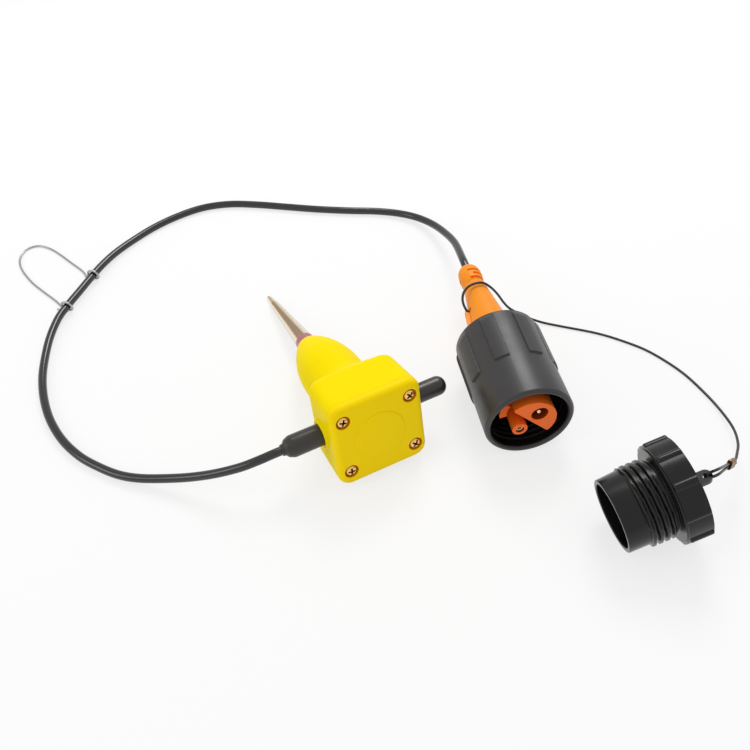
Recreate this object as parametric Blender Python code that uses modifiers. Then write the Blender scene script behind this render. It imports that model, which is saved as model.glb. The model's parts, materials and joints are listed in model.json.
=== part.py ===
"""Geophone with its spike, lead, coupling connector, dust cap and wire clip.

Metres, +Z up. The geophone lies on its side as it comes to rest: its axis runs along +Y from the
screwed cap to the spike, and dips so that the case's rear lower edge and the spike's point touch
the ground. The origin is on the ground, below the middle of the geophone.
"""
import math

import bmesh
import bpy
from mathutils import Matrix, Vector

# Clearance between two solids that touch on the real product
GAP = 0.0003

# Case: a square box with a bullet-shaped neck, along the geophone's own axis from the cap's face
BOX_SIDE = 0.044
BOX_CORNER = 0.007
BOX_REAR = 0.0245
BOX_REAR_EDGE = 0.0025
NECK_RADIUS = 0.015
NECK_FILLET = 0.003
NOSE_START = 0.049
CASE_LENGTH = 0.081
NOSE_END_RADIUS = 0.0056
CAVITY_RADIUS = 0.0166
CAVITY_DEPTH = 0.021
SIDE_BOSS_RADIUS = 0.0066
SIDE_BOSS_HEIGHT = 0.0007

# Cap with its raised disc, screws and seal
CAP_THICKNESS = 0.004
CAP_EDGE = 0.001
DISC_RADIUS = 0.0118
DISC_HEIGHT = 0.0005
SCREW_X = 0.01615
SCREW_Y = 0.0141
SCREW_HEAD_RADIUS = 0.0026
SCREW_HEAD_HEIGHT = 0.0017
SCREW_RECESS_DEPTH = 0.0019
SCREW_RECESS_MARGIN = 0.0007
SCREW_SHANK_RADIUS = 0.0013
SCREW_LENGTH = 0.0125
CROSS_WIDTH = 0.0007
CROSS_SPAN = 0.003
CROSS_DEPTH = 0.0009
SEAL_RADIUS = 0.0185
SEAL_WIDTH = 0.0012

# Spike: turned steel, screwed into the nose
SPIKE_RADIUS = 0.005
SPIKE_LAND = 0.0022
SPIKE_LENGTH = 0.0557
SPIKE_BREAK = 0.044
SPIKE_BREAK_RADIUS = 0.0025
SPIKE_TIP_RADIUS = 0.0004
SHANK_RADIUS = 0.004
SHANK_CLEARANCE = 0.0092

# Lead gland on the left side and blind plug on the right side
GLAND_RADIUS = 0.005
GLAND_REACH = 0.0176
GLAND_TAPER = 0.0036
GLAND_POSITION = 0.0142
GLAND_FLANGE_RADIUS = 0.0062
GLAND_FLANGE_WIDTH = 0.0015
GLAND_FLANGE_PLACE = math.sqrt((CAVITY_RADIUS - 2 * GAP) ** 2 - GLAND_FLANGE_RADIUS ** 2)
LEAD_RADIUS = 0.0021

# Moving-coil element in the neck
ELEMENT_RADIUS = 0.0127
ELEMENT_LENGTH = 0.033
CAN_WALL = 0.0008
END_PLATE = 0.002
END_PLATE_INSET = 0.0006
POLE_RADIUS = 0.0069
POLE_THICKNESS = 0.0035
STEM_RADIUS = 0.003
STEM_LENGTH = 0.0036
MAGNET_RADIUS = 0.0065
FORM_BORE = 0.0076
FORM_CORE = 0.0088
FORM_FLANGE = 0.0109
FORM_END = 0.0012
WINDING_RADIUS = 0.0107
SPRING_THICKNESS = 0.0003
SPRING_HUB = 0.0048
SPRING_RIM = 0.0092
TERMINAL_RADIUS = 0.0007
TERMINAL_OFFSET = 0.007
TERMINAL_REACH = 0.0045
CORE_WIRE_RADIUS = 0.0005

# Connector, along its own axis from the coupling collar's front rim
CONNECTOR_PLACE = (0.0636, -0.0874)
CONNECTOR_HEADING = math.radians(16.26)
COLLAR_LENGTH = 0.0512
COLLAR_RADIUS = 0.0208
COLLAR_REAR_RADIUS = 0.0198
COLLAR_CHAMFER = 0.002
COLLAR_MOUTH = 0.0183
COLLAR_SHOULDER = 0.0263
RIB_COUNT = 8
RIB_RADIUS = 0.021
RIB_WIDTH = 0.0066
RIB_START = 0.023
RIB_FIRST_ANGLE = math.radians(20)
BODY_FLANGE_RADIUS = 0.0172
BODY_FLANGE = 0.005
BODY_BARREL_RADIUS = 0.0147
BODY_CONE_START = 0.053
BODY_WAIST = 0.062
BODY_WAIST_RADIUS = 0.0096
BODY_LENGTH = 0.0912
BODY_NECK_RADIUS = 0.0044
TOWER_FACE = 0.0005
TOWER_RADIUS = 0.012
POST_RADIUS = 0.0036
POST_OFFSET = 0.006
POST_BORE = 0.0022
RECESS_RADIUS = 0.0039
RECESS_DEPTH = 0.012
KEY_FACE = 0.006
TOWER_ANGLE = math.radians(45)
PIN_RADIUS = 0.00125
PIN_TIP = 0.002
SOCKET_BORE = 0.0013
FACE_SEAL_THICKNESS = 0.0013
SNAP_RING_WIDTH = 0.0014
SNAP_RING_RADIUS = 0.0163
SNAP_RING_PLACE = 0.0492
LUG_SETBACK = 0.0177
LUG_RADIUS = 0.0023
LUG_HOLE = 0.001
LUG_CLEARANCE = 0.0004
RELIEF_LENGTH = 0.020
RELIEF_RADIUS = 0.0058
RELIEF_END_RADIUS = 0.0037
RELIEF_GROOVES = 4

# Dust cap, along its own axis from its open mouth
DUST_PLACE = (0.0667, -0.1436)
DUST_HEADING = math.radians(100.9)
DUST_NOSE_RADIUS = 0.0166
DUST_BORE = 0.0146
DUST_DEPTH = 0.0245
DUST_THREAD_RADIUS = 0.018
DUST_THREAD_START = 0.0102
DUST_THREADS = 4
THREAD_PITCH = 0.003
DUST_FLANGE_FRONT = 0.0246
DUST_FLANGE_REAR = 0.0366
DUST_FLANGE_RADIUS = 0.0218
DUST_FLANGE_REAR_RADIUS = 0.0210
DUST_LOBES = 10
DUST_LOBE_FRONT = 0.0262
DUST_LOBE_REAR = 0.0358
DUST_LOBE_CREST = 0.0242
DUST_LOBE_RADIUS = 0.0035
DUST_VALLEY_RADIUS = 0.0222
DUST_BOSS_RADIUS = 0.006
DUST_BOSS_REAR = 0.0388
EYE_PLACE = 0.042
EYE_HOLE = 0.00125
EYE_WIDTH = 0.006
EYE_THICKNESS = 0.0024

# Lanyard with its crimped ferrule
LANYARD_RADIUS = 0.00065
LANYARD_TURN = 0.0027
FERRULE_PLACE = (0.1284, -0.1465, 0.016)
FERRULE_LENGTH = 0.0055
FERRULE_STRAND_GAP = 0.0026
FERRULE_WIDTH = 0.0054
FERRULE_THICKNESS = 0.0031

# Wire clip: two rings round the lead and a long loop, lying on the ground
CLIP_WIRE_RADIUS = 0.00065
CLIP_RINGS = ((-0.0999, 0.1136), (-0.0813, 0.1312))
CLIP_RING_PITCH = 0.0017
CLIP_TAIL = 0.0065
CLIP_LOOP = [
    (0.0175, 0.0102), (0.0225, 0.0215), (0.0264, 0.0304), (0.0297, 0.0400), (0.0297, 0.0485),
    (0.0242, 0.0530), (0.0160, 0.0515), (0.0083, 0.0448), (0.0007, 0.0332), (-0.0042, 0.0225),
    (-0.0090, 0.0110),
]

CLIP_RING_RADIUS = LEAD_RADIUS + GAP + CLIP_WIRE_RADIUS
CLIP_HEIGHT = CLIP_RING_RADIUS + CLIP_WIRE_RADIUS + 0.0001

# Lead route on the ground between the gland and the strain relief, chosen by hand
LEAD_ROUTE = [
    (-0.0500, -0.0501, 0.0222), (-0.0600, -0.0465, 0.0182), (-0.0703, -0.0406, 0.0134),
    (-0.0803, -0.0336, 0.0090), (-0.0904, -0.0262, 0.0058), (-0.1004, -0.0187, 0.0036),
    (-0.1083, -0.0112, 0.0025), (-0.1152, -0.0020, 0.0022), (-0.1214, 0.0085, 0.0022),
    (-0.1261, 0.0219, 0.0022), (-0.1283, 0.0371, 0.0022), (-0.1278, 0.0524, 0.0022),
    (-0.1251, 0.0675, 0.0022), (-0.1203, 0.0818, 0.0023), (-0.1143, 0.0948, 0.0030),
    (-0.1069, 0.1062, 0.0037), (*CLIP_RINGS[0], CLIP_HEIGHT), (-0.0906, 0.1224, CLIP_HEIGHT),
    (*CLIP_RINGS[1], CLIP_HEIGHT), (-0.0734, 0.1382, 0.0037), (-0.0636, 0.1459, 0.0029),
    (-0.0507, 0.1529, 0.0023), (-0.0351, 0.1588, 0.0022),
    (-0.0188, 0.1619, 0.0022), (-0.0033, 0.1619, 0.0022), (0.0117, 0.1572, 0.0022),
    (0.0260, 0.1483, 0.0022), (0.0409, 0.1371, 0.0022), (0.0562, 0.1256, 0.0022),
    (0.0724, 0.1146, 0.0022), (0.0862, 0.1058, 0.0023), (0.0966, 0.0968, 0.0027),
    (0.1034, 0.0868, 0.0037), (0.1066, 0.0740, 0.0062), (0.1062, 0.0590, 0.0102),
    (0.1032, 0.0430, 0.0150),
]

# Lanyard route from over the strain relief's neck, along the ground and up to the ferrule
LANYARD_ROUTE = [
    (0.1015, -0.0085, 0.0150), (0.1065, -0.0120, 0.0078), (0.1120, -0.0160, 0.0030),
    (0.1175, -0.0210, 0.0011), (0.1250, -0.0283, 0.0008), (0.1381, -0.0417, 0.0008),
    (0.1465, -0.0532, 0.0008), (0.1534, -0.0661, 0.0008), (0.1580, -0.0840, 0.0008),
    (0.1585, -0.1005, 0.0009), (0.1567, -0.1140, 0.0018), (0.1522, -0.1261, 0.0045),
    (0.1450, -0.1355, 0.0085), (0.1375, -0.1417, 0.0122),
]

# Length in metres that one radian of bend counts for when a route's points are spaced
BEND_WEIGHT = 0.015

ROUND_STEPS = {"large": 30, "medium": 20, "small": 10}
WELD_DISTANCE = 0.00001


def clear_scene():
    """Remove every object that the file opens with."""
    for thing in list(bpy.data.objects):
        bpy.data.objects.remove(thing, do_unlink=True)


clear_scene()
PARTS = bpy.data.collections.new("geophone")
CUTTERS = bpy.data.collections.new("cutters")
bpy.context.scene.collection.children.link(PARTS)
bpy.context.scene.collection.children.link(CUTTERS)


def material(name, colour, roughness, metallic=0.0):
    """A Principled material of one colour."""
    made = bpy.data.materials.new(name)
    made.use_nodes = True
    shader = made.node_tree.nodes["Principled BSDF"]
    shader.inputs["Base Color"].default_value = (*colour, 1.0)
    shader.inputs["Roughness"].default_value = roughness
    shader.inputs["Metallic"].default_value = metallic
    return made


YELLOW = material("yellow_plastic", (0.86, 0.66, 0.01), 0.38)
ORANGE = material("orange_plastic", (0.86, 0.24, 0.02), 0.42)
BLACK = material("black_plastic", (0.025, 0.025, 0.027), 0.45)
RUBBER = material("black_rubber", (0.02, 0.02, 0.022), 0.6)
PLATED = material("plated_steel", (0.72, 0.6, 0.38), 0.3, 1.0)
BRASS = material("brass", (0.8, 0.56, 0.25), 0.28, 1.0)
STEEL = material("bright_steel", (0.7, 0.7, 0.7), 0.32, 1.0)
COPPER = material("copper_wire", (0.72, 0.33, 0.16), 0.4, 1.0)
MAGNET_GREY = material("magnet", (0.3, 0.3, 0.31), 0.45, 0.9)
FIBRE = material("insulating_board", (0.16, 0.1, 0.05), 0.6)


def add_object(name, mesh, finish, parent, collection=PARTS):
    """Link one named object, and hang it on its frame."""
    thing = bpy.data.objects.new(name, mesh)
    collection.objects.link(thing)
    if finish:
        mesh.materials.append(finish)
    thing.parent = parent
    if collection is CUTTERS:
        thing.hide_render = True
        thing.display_type = "WIRE"
    return thing


def add_frame(name, location, rotation):
    """An empty whose +Z is the axis of the pieces that hang on it."""
    frame = bpy.data.objects.new(name, None)
    PARTS.objects.link(frame)
    frame.location = location
    frame.rotation_euler = rotation
    return frame


def smooth(mesh, angle=32):
    """Shade a mesh smooth, apart from its sharp edges."""
    mesh.shade_smooth()
    mesh.set_sharp_from_angle(angle=math.radians(angle))


def arc(centre_r, centre_z, radius, start, end, count):
    """Points of an arc in a profile, angles in degrees from the radial direction."""
    points = []
    for step in range(count + 1):
        angle = math.radians(start + (end - start) * step / count)
        points.append((centre_r + radius * math.cos(angle), centre_z + radius * math.sin(angle)))
    return points


def turned(name, profile, finish, parent, steps="medium", collection=PARTS):
    """A turned solid: a profile of (radius, height) that runs down its outer side, and a Screw.

    A profile that starts and ends on the axis makes a solid, and any other is closed to a ring.
    """
    mesh = bpy.data.meshes.new(name)
    ring = bmesh.new()
    verts = [ring.verts.new((radius, 0.0, height)) for radius, height in profile]
    pairs = list(zip(verts, verts[1:]))
    if profile[0][0] > 0.0:
        pairs.append((verts[-1], verts[0]))
    for first, second in pairs:
        ring.edges.new((first, second))
    ring.to_mesh(mesh)
    ring.free()
    thing = add_object(name, mesh, finish, parent, collection)
    screw = thing.modifiers.new("turn", "SCREW")
    screw.steps = ROUND_STEPS[steps]
    screw.render_steps = ROUND_STEPS[steps]
    screw.use_merge_vertices = True
    screw.merge_threshold = 0.00001
    screw.use_smooth_shade = True
    return thing


def cut(thing, cutter, operation="DIFFERENCE"):
    """Cut a solid with another, or join the two."""
    step = thing.modifiers.new(cutter.name, "BOOLEAN")
    step.operation = operation
    step.solver = "EXACT"
    step.object = cutter
    return thing


def weld(thing):
    """Join the points that a Boolean left on top of each other."""
    step = thing.modifiers.new("weld", "WELD")
    step.merge_threshold = WELD_DISTANCE
    return thing


def block(name, size, centre, parent, turn=None):
    """A box cutter or a box to join."""
    mesh = bpy.data.meshes.new(name)
    solid = bmesh.new()
    bmesh.ops.create_cube(solid, size=1.0)
    bmesh.ops.scale(solid, vec=size, verts=solid.verts)
    bmesh.ops.translate(solid, vec=centre, verts=solid.verts)
    if turn is not None:
        bmesh.ops.rotate(solid, cent=(0, 0, 0), matrix=turn, verts=solid.verts)
    solid.to_mesh(mesh)
    solid.free()
    return add_object(name, mesh, None, parent, CUTTERS)


def drum(name, radius, start, end, parent, steps="small", place=(0.0, 0.0), turn=None):
    """A round cutter or a round solid to join, along Z unless turned."""
    thing = turned(name, [(0.0, end), (radius, end), (radius, start), (0.0, start)],
                   None, parent, steps, CUTTERS)
    thing.location = (place[0], place[1], 0.0)
    if turn:
        thing.rotation_euler = turn
    return thing


def rounded_box(name, side, corner, front, rear, front_edge, rear_edge, finish, parent):
    """A square box along Z with rounded corners, and rounded edges at its ends."""
    mesh = bpy.data.meshes.new(name)
    solid = bmesh.new()
    bmesh.ops.create_cube(solid, size=1.0)
    bmesh.ops.scale(solid, vec=(side, side, rear - front), verts=solid.verts)
    bmesh.ops.translate(solid, vec=(0, 0, (front + rear) / 2), verts=solid.verts)
    uprights = [edge for edge in solid.edges
                if abs(edge.verts[0].co.z - edge.verts[1].co.z) > (rear - front) / 2]
    bmesh.ops.bevel(solid, geom=uprights, offset=corner, offset_type="OFFSET", segments=5,
                    profile=0.5, affect="EDGES")
    for height, radius in ((front, front_edge), (rear, rear_edge)):
        if radius > 0.0:
            rim = [edge for edge in solid.edges
                   if all(abs(vert.co.z - height) < 1e-6 for vert in edge.verts)]
            bmesh.ops.bevel(solid, geom=rim, offset=radius, offset_type="OFFSET", segments=2,
                            profile=0.5, affect="EDGES")
    bmesh.ops.recalc_face_normals(solid, faces=solid.faces)
    solid.to_mesh(mesh)
    solid.free()
    thing = add_object(name, mesh, finish, parent)
    smooth(mesh)
    return thing


def plate(name, outlines, start, thickness, finish, parent, collection=PARTS):
    """A flat plate along Z from closed outlines, the first outside and the others its holes."""
    curve = bpy.data.curves.new(name, "CURVE")
    curve.dimensions = "2D"
    curve.fill_mode = "BOTH"
    curve.extrude = thickness / 2
    for outline in outlines:
        spline = curve.splines.new("POLY")
        spline.points.add(len(outline) - 1)
        for point, (x, y) in zip(spline.points, outline):
            point.co = (x, y, 0.0, 1.0)
        spline.use_cyclic_u = True
    return curve_to_solid(name, curve, finish, parent, collection, (0, 0, start + thickness / 2))


def curve_to_solid(name, curve, finish, parent, collection=PARTS, shift=(0, 0, 0)):
    """Turn a curve into a welded mesh object."""
    guide = bpy.data.objects.new(name + "_guide", curve)
    CUTTERS.objects.link(guide)
    seen = guide.evaluated_get(bpy.context.evaluated_depsgraph_get())
    mesh = bpy.data.meshes.new_from_object(seen)
    bpy.data.objects.remove(guide, do_unlink=True)
    welded = bmesh.new()
    welded.from_mesh(mesh)
    bmesh.ops.remove_doubles(welded, verts=welded.verts, dist=0.000002)
    bmesh.ops.recalc_face_normals(welded, faces=welded.faces)
    bmesh.ops.translate(welded, vec=shift, verts=welded.verts)
    welded.to_mesh(mesh)
    welded.free()
    mesh.materials.clear()
    mesh.name = name
    return add_object(name, mesh, finish, parent, collection)


def circle(radius, count, centre=(0.0, 0.0), start=0.0):
    """Points of a full circle."""
    return [(centre[0] + radius * math.cos(start + 2 * math.pi * step / count),
             centre[1] + radius * math.sin(start + 2 * math.pi * step / count))
            for step in range(count)]


def wire(name, points, radius, finish, parent=None, resolution=2):
    """A round wire or lead along points, with flat ends."""
    curve = bpy.data.curves.new(name, "CURVE")
    curve.dimensions = "3D"
    curve.bevel_depth = radius
    curve.bevel_resolution = resolution
    curve.use_fill_caps = True
    spline = curve.splines.new("POLY")
    spline.points.add(len(points) - 1)
    for point, place in zip(spline.points, points):
        point.co = (*place, 1.0)
    spline.use_smooth = True
    thing = bpy.data.objects.new(name, curve)
    PARTS.objects.link(thing)
    curve.materials.append(finish)
    thing.parent = parent
    return thing


def smooth_route(points, count):
    """Points along a smooth curve through the given ones, closer together where it bends."""
    places = [Vector(point) for point in points]
    places = [2 * places[0] - places[1]] + places + [2 * places[-1] - places[-2]]
    fine = []
    for before, first, second, after in zip(places, places[1:], places[2:], places[3:]):
        for step in range(12):
            t = step / 12
            fine.append(0.5 * ((2 * first) + (second - before) * t
                               + (2 * before - 5 * first + 4 * second - after) * t ** 2
                               + (3 * first - before - 3 * second + after) * t ** 3))
    fine.append(places[-2])
    reach = [0.0]
    heading = fine[1] - fine[0]
    for first, second in zip(fine, fine[1:]):
        run = second - first
        reach.append(reach[-1] + run.length + BEND_WEIGHT * heading.angle(run, 0.0))
        heading = run
    spaced = []
    index = 0
    for step in range(count):
        target = reach[-1] * step / (count - 1)
        while index < len(reach) - 2 and reach[index + 1] < target:
            index += 1
        share = (target - reach[index]) / (reach[index + 1] - reach[index])
        spaced.append(fine[index].lerp(fine[index + 1], share))
    return spaced


def resting_tilt():
    """The dip at which the rear lower edge of the box and the spike's point share the ground."""
    edge_along = BOX_REAR - BOX_REAR_EDGE
    edge_below = BOX_SIDE / 2 - BOX_REAR_EDGE
    along = CASE_LENGTH + GAP + SPIKE_LENGTH - SPIKE_TIP_RADIUS - edge_along
    reach = math.hypot(along, edge_below)
    drop = BOX_REAR_EDGE - SPIKE_TIP_RADIUS
    return math.acos(-drop / reach) - math.atan2(along, edge_below)


TILT = resting_tilt()
OVERALL = CASE_LENGTH + GAP + SPIKE_LENGTH
AXIS_HEIGHT = ((BOX_REAR - BOX_REAR_EDGE) * math.sin(TILT)
               + (BOX_SIDE / 2 - BOX_REAR_EDGE) * math.cos(TILT) + BOX_REAR_EDGE)
FRONT_REACH = (CAP_EDGE * math.cos(TILT) - (BOX_SIDE / 2 - CAP_EDGE) * math.sin(TILT) - CAP_EDGE)
AXIS_START = -(OVERALL * math.cos(TILT) + FRONT_REACH) / 2
LOBE_OFFSET = DUST_LOBE_CREST - DUST_LOBE_RADIUS
LOBE_DROP = LOBE_OFFSET * math.cos(math.pi / DUST_LOBES) + DUST_LOBE_RADIUS
DUST_TILT = math.atan2(LOBE_DROP - DUST_NOSE_RADIUS, DUST_LOBE_FRONT)

GEOPHONE = add_frame("geophone_frame", (0, AXIS_START, AXIS_HEIGHT),
                     (-math.pi / 2 - TILT, 0, 0))
CONNECTOR = add_frame("connector_frame", (*CONNECTOR_PLACE, RIB_RADIUS),
                      (-math.pi / 2, 0, -CONNECTOR_HEADING))
DUST = add_frame("dust_cap_frame", (*DUST_PLACE, DUST_NOSE_RADIUS * math.cos(DUST_TILT)),
                 (-math.pi / 2 + DUST_TILT, 0, -DUST_HEADING))
bpy.context.view_layer.update()

BODY_FRONT = CAP_THICKNESS + GAP
SCREW_PLACES = [(side * SCREW_X, level * SCREW_Y) for level in (-1, 1) for side in (-1, 1)]
SCREW_HOLE = SCREW_SHANK_RADIUS + GAP
ELEMENT_START = CAVITY_DEPTH + GAP
ELEMENT_END = ELEMENT_START + ELEMENT_LENGTH
SHANK_START = ELEMENT_END + SHANK_CLEARANCE


def nose_profile():
    """The neck's outline from the nose's end to inside the box, with the nose as one long arc."""
    run = CASE_LENGTH - NOSE_START
    drop = NECK_RADIUS - NOSE_END_RADIUS
    radius = (run ** 2 + drop ** 2) / (2 * drop)
    end = math.degrees(math.asin(run / radius))
    points = [(0.0, CASE_LENGTH)]
    points += arc(NECK_RADIUS - radius, NOSE_START, radius, end, 0, 8)
    fillet_foot = BOX_REAR - GAP / 2
    points += arc(NECK_RADIUS + NECK_FILLET, fillet_foot + NECK_FILLET, NECK_FILLET, 180, 270, 3)
    inside = BOX_REAR / 2
    points += [(NECK_RADIUS + NECK_FILLET, inside), (0.0, inside)]
    return points


def make_case():
    """The moulded case: box, neck and nose in one piece, hollow for the element and the wiring."""
    case = rounded_box("case_body", BOX_SIDE, BOX_CORNER, BODY_FRONT, BOX_REAR, 0.0,
                       BOX_REAR_EDGE, YELLOW, GEOPHONE)
    neck = turned("neck_form", nose_profile(), None, GEOPHONE, "large", CUTTERS)
    cut(case, neck, "UNION")
    half = BOX_SIDE / 2
    for side in (-1, 1):
        boss = drum(f"side_boss_{side}", SIDE_BOSS_RADIUS, half - 0.003, half + SIDE_BOSS_HEIGHT,
                    GEOPHONE, "medium", turn=(0, side * math.pi / 2, 0))
        boss.location = (0, 0, GLAND_POSITION)
        cut(case, boss, "UNION")
    bore = ELEMENT_RADIUS + GAP
    hollow = turned("case_hollow", [
        (0.0, ELEMENT_END + GAP), (bore, ELEMENT_END + GAP), (bore, CAVITY_DEPTH),
        (CAVITY_RADIUS, CAVITY_DEPTH), (CAVITY_RADIUS, 0.0), (0.0, 0.0)],
        None, GEOPHONE, "medium", CUTTERS)
    cut(case, hollow)
    groove_depth = BODY_FRONT + SEAL_WIDTH + GAP
    groove_half = SEAL_WIDTH / 2 + GAP
    groove = turned("seal_groove", [
        (SEAL_RADIUS + groove_half, groove_depth), (SEAL_RADIUS + groove_half, 0.0),
        (SEAL_RADIUS - groove_half, 0.0), (SEAL_RADIUS - groove_half, groove_depth)],
        None, GEOPHONE, "medium", CUTTERS)
    cut(case, groove)
    for number, place in enumerate(SCREW_PLACES, 1):
        depth = SCREW_LENGTH + GAP
        cut(case, drum(f"screw_hole_{number}", SCREW_HOLE, 0.0, depth, GEOPHONE, "small", place))
    passage = drum("gland_passage", GLAND_RADIUS + GAP, -half - 0.002, half + 0.002, GEOPHONE,
                   "medium", turn=(0, math.pi / 2, 0))
    passage.location = (0, 0, GLAND_POSITION)
    cut(case, passage)
    shank_end = SHANK_START - GAP
    cut(case, drum("shank_hole", SHANK_RADIUS + GAP, shank_end, CASE_LENGTH + 0.002, GEOPHONE,
                   "medium"))
    return weld(case)


def make_cap():
    """The screwed cap with its raised disc and four screw recesses."""
    cap = rounded_box("case_cap", BOX_SIDE, BOX_CORNER, 0.0, CAP_THICKNESS, CAP_EDGE, 0.0,
                      YELLOW, GEOPHONE)
    disc = turned("cap_disc", [
        (0.0, CAP_THICKNESS / 2), (DISC_RADIUS, CAP_THICKNESS / 2), (DISC_RADIUS, 0.0),
        (DISC_RADIUS - DISC_HEIGHT, -DISC_HEIGHT), (0.0, -DISC_HEIGHT)],
        None, GEOPHONE, "large", CUTTERS)
    cut(cap, disc, "UNION")
    recess = SCREW_HEAD_RADIUS + SCREW_RECESS_MARGIN
    for number, place in enumerate(SCREW_PLACES, 1):
        well = turned(f"screw_well_{number}", [
            (0.0, CAP_THICKNESS + 0.001), (SCREW_HOLE, CAP_THICKNESS + 0.001),
            (SCREW_HOLE, SCREW_RECESS_DEPTH), (recess, SCREW_RECESS_DEPTH),
            (recess, -0.001), (0.0, -0.001)], None, GEOPHONE, "small", CUTTERS)
        well.location = (*place, 0.0)
        cut(cap, well)
    return cap


def make_cap_seal():
    """The square-section ring that seals the cap."""
    half = SEAL_WIDTH / 2
    return turned("cap_seal", [
        (SEAL_RADIUS + half, BODY_FRONT + SEAL_WIDTH), (SEAL_RADIUS + half, BODY_FRONT),
        (SEAL_RADIUS - half, BODY_FRONT), (SEAL_RADIUS - half, BODY_FRONT + SEAL_WIDTH)],
        RUBBER, GEOPHONE)


def make_screws():
    """Four pan-head screws with a cross recess, heads towards the cap's face."""
    seat = SCREW_RECESS_DEPTH - GAP
    top = seat - SCREW_HEAD_HEIGHT
    for number, place in enumerate(SCREW_PLACES, 1):
        dome = arc(0.0, seat - 0.0006, SCREW_HEAD_RADIUS, 0, -62, 3)
        dome_top = dome[-1][1]
        dome = [(radius, seat - 0.0006 + (height - seat + 0.0006) * (seat - 0.0006 - top)
                 / (seat - 0.0006 - dome_top)) for radius, height in dome]
        profile = [(0.0, SCREW_LENGTH), (SCREW_SHANK_RADIUS * 0.4, SCREW_LENGTH),
                   (SCREW_SHANK_RADIUS, SCREW_LENGTH - 0.0015), (SCREW_SHANK_RADIUS, seat),
                   (SCREW_HEAD_RADIUS, seat)] + dome + [(0.0, top)]
        screw = turned(f"cap_screw_{number}", profile, BRASS, GEOPHONE, "small")
        screw.location = (*place, 0.0)
        for arm, turn in enumerate((0, 90)):
            arm_turn = Matrix.Rotation(math.radians(turn + 20 * number), 3, "Z")
            slot = block(f"cross_{number}_{arm}", (CROSS_SPAN, CROSS_WIDTH, CROSS_DEPTH * 2),
                         (0, 0, top), GEOPHONE, arm_turn)
            slot.location = (*place, 0.0)
            cut(screw, slot)


def make_spike():
    """The turned spike: plain shank in the nose, straight land, long cone and short point."""
    base = CASE_LENGTH + GAP
    tip = base + SPIKE_LENGTH
    return turned("spike", [
        (0.0, tip), (SPIKE_TIP_RADIUS, tip - SPIKE_TIP_RADIUS / 2),
        (SPIKE_BREAK_RADIUS, base + SPIKE_BREAK), (SPIKE_RADIUS, base + SPIKE_LAND),
        (SPIKE_RADIUS, base), (SHANK_RADIUS, base),
        (SHANK_RADIUS, SHANK_START + 0.0008),
        (SHANK_RADIUS - 0.0008, SHANK_START), (0.0, SHANK_START)],
        PLATED, GEOPHONE)


def side_fitting(name, end_points, finish, side):
    """A moulded fitting through one side wall, with its flange inside the case."""
    flange = GLAND_FLANGE_PLACE
    profile = end_points + [
        (GLAND_RADIUS, flange), (GLAND_FLANGE_RADIUS, flange),
        (GLAND_FLANGE_RADIUS, flange - GLAND_FLANGE_WIDTH), (0.0, flange - GLAND_FLANGE_WIDTH)]
    thing = turned(name, profile, finish, GEOPHONE)
    thing.location = (0, 0, GLAND_POSITION)
    thing.rotation_euler = (0, side * math.pi / 2, 0)
    return thing


def make_side_fittings():
    """The lead's gland on the left, tapering to the lead, and the round-ended plug on the right."""
    end = BOX_SIDE / 2 + GLAND_REACH
    mouth = LEAD_RADIUS + 0.0004
    taper = [(0.0, end), (mouth, end)]
    for step in range(1, 5):
        share = step / 4
        taper.append((mouth + (GLAND_RADIUS - mouth) * math.sin(share * math.pi / 2),
                      end - GLAND_TAPER * (1 - math.cos(share * math.pi / 2))))
    side_fitting("lead_gland", taper, RUBBER, -1)
    dome = arc(0.0, end - GLAND_RADIUS * 0.8, GLAND_RADIUS, 90, 0, 5)
    dome = [(radius, end - GLAND_RADIUS * 0.8 + (height - end + GLAND_RADIUS * 0.8) * 0.8)
            for radius, height in dome]
    dome[0] = (0.0, end)
    side_fitting("blind_plug", dome, RUBBER, 1)


def ring_profile(outer, inner, start, end):
    """A plain ring's profile along Z."""
    return [(outer, end), (outer, start), (inner, start), (inner, end)]


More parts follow.
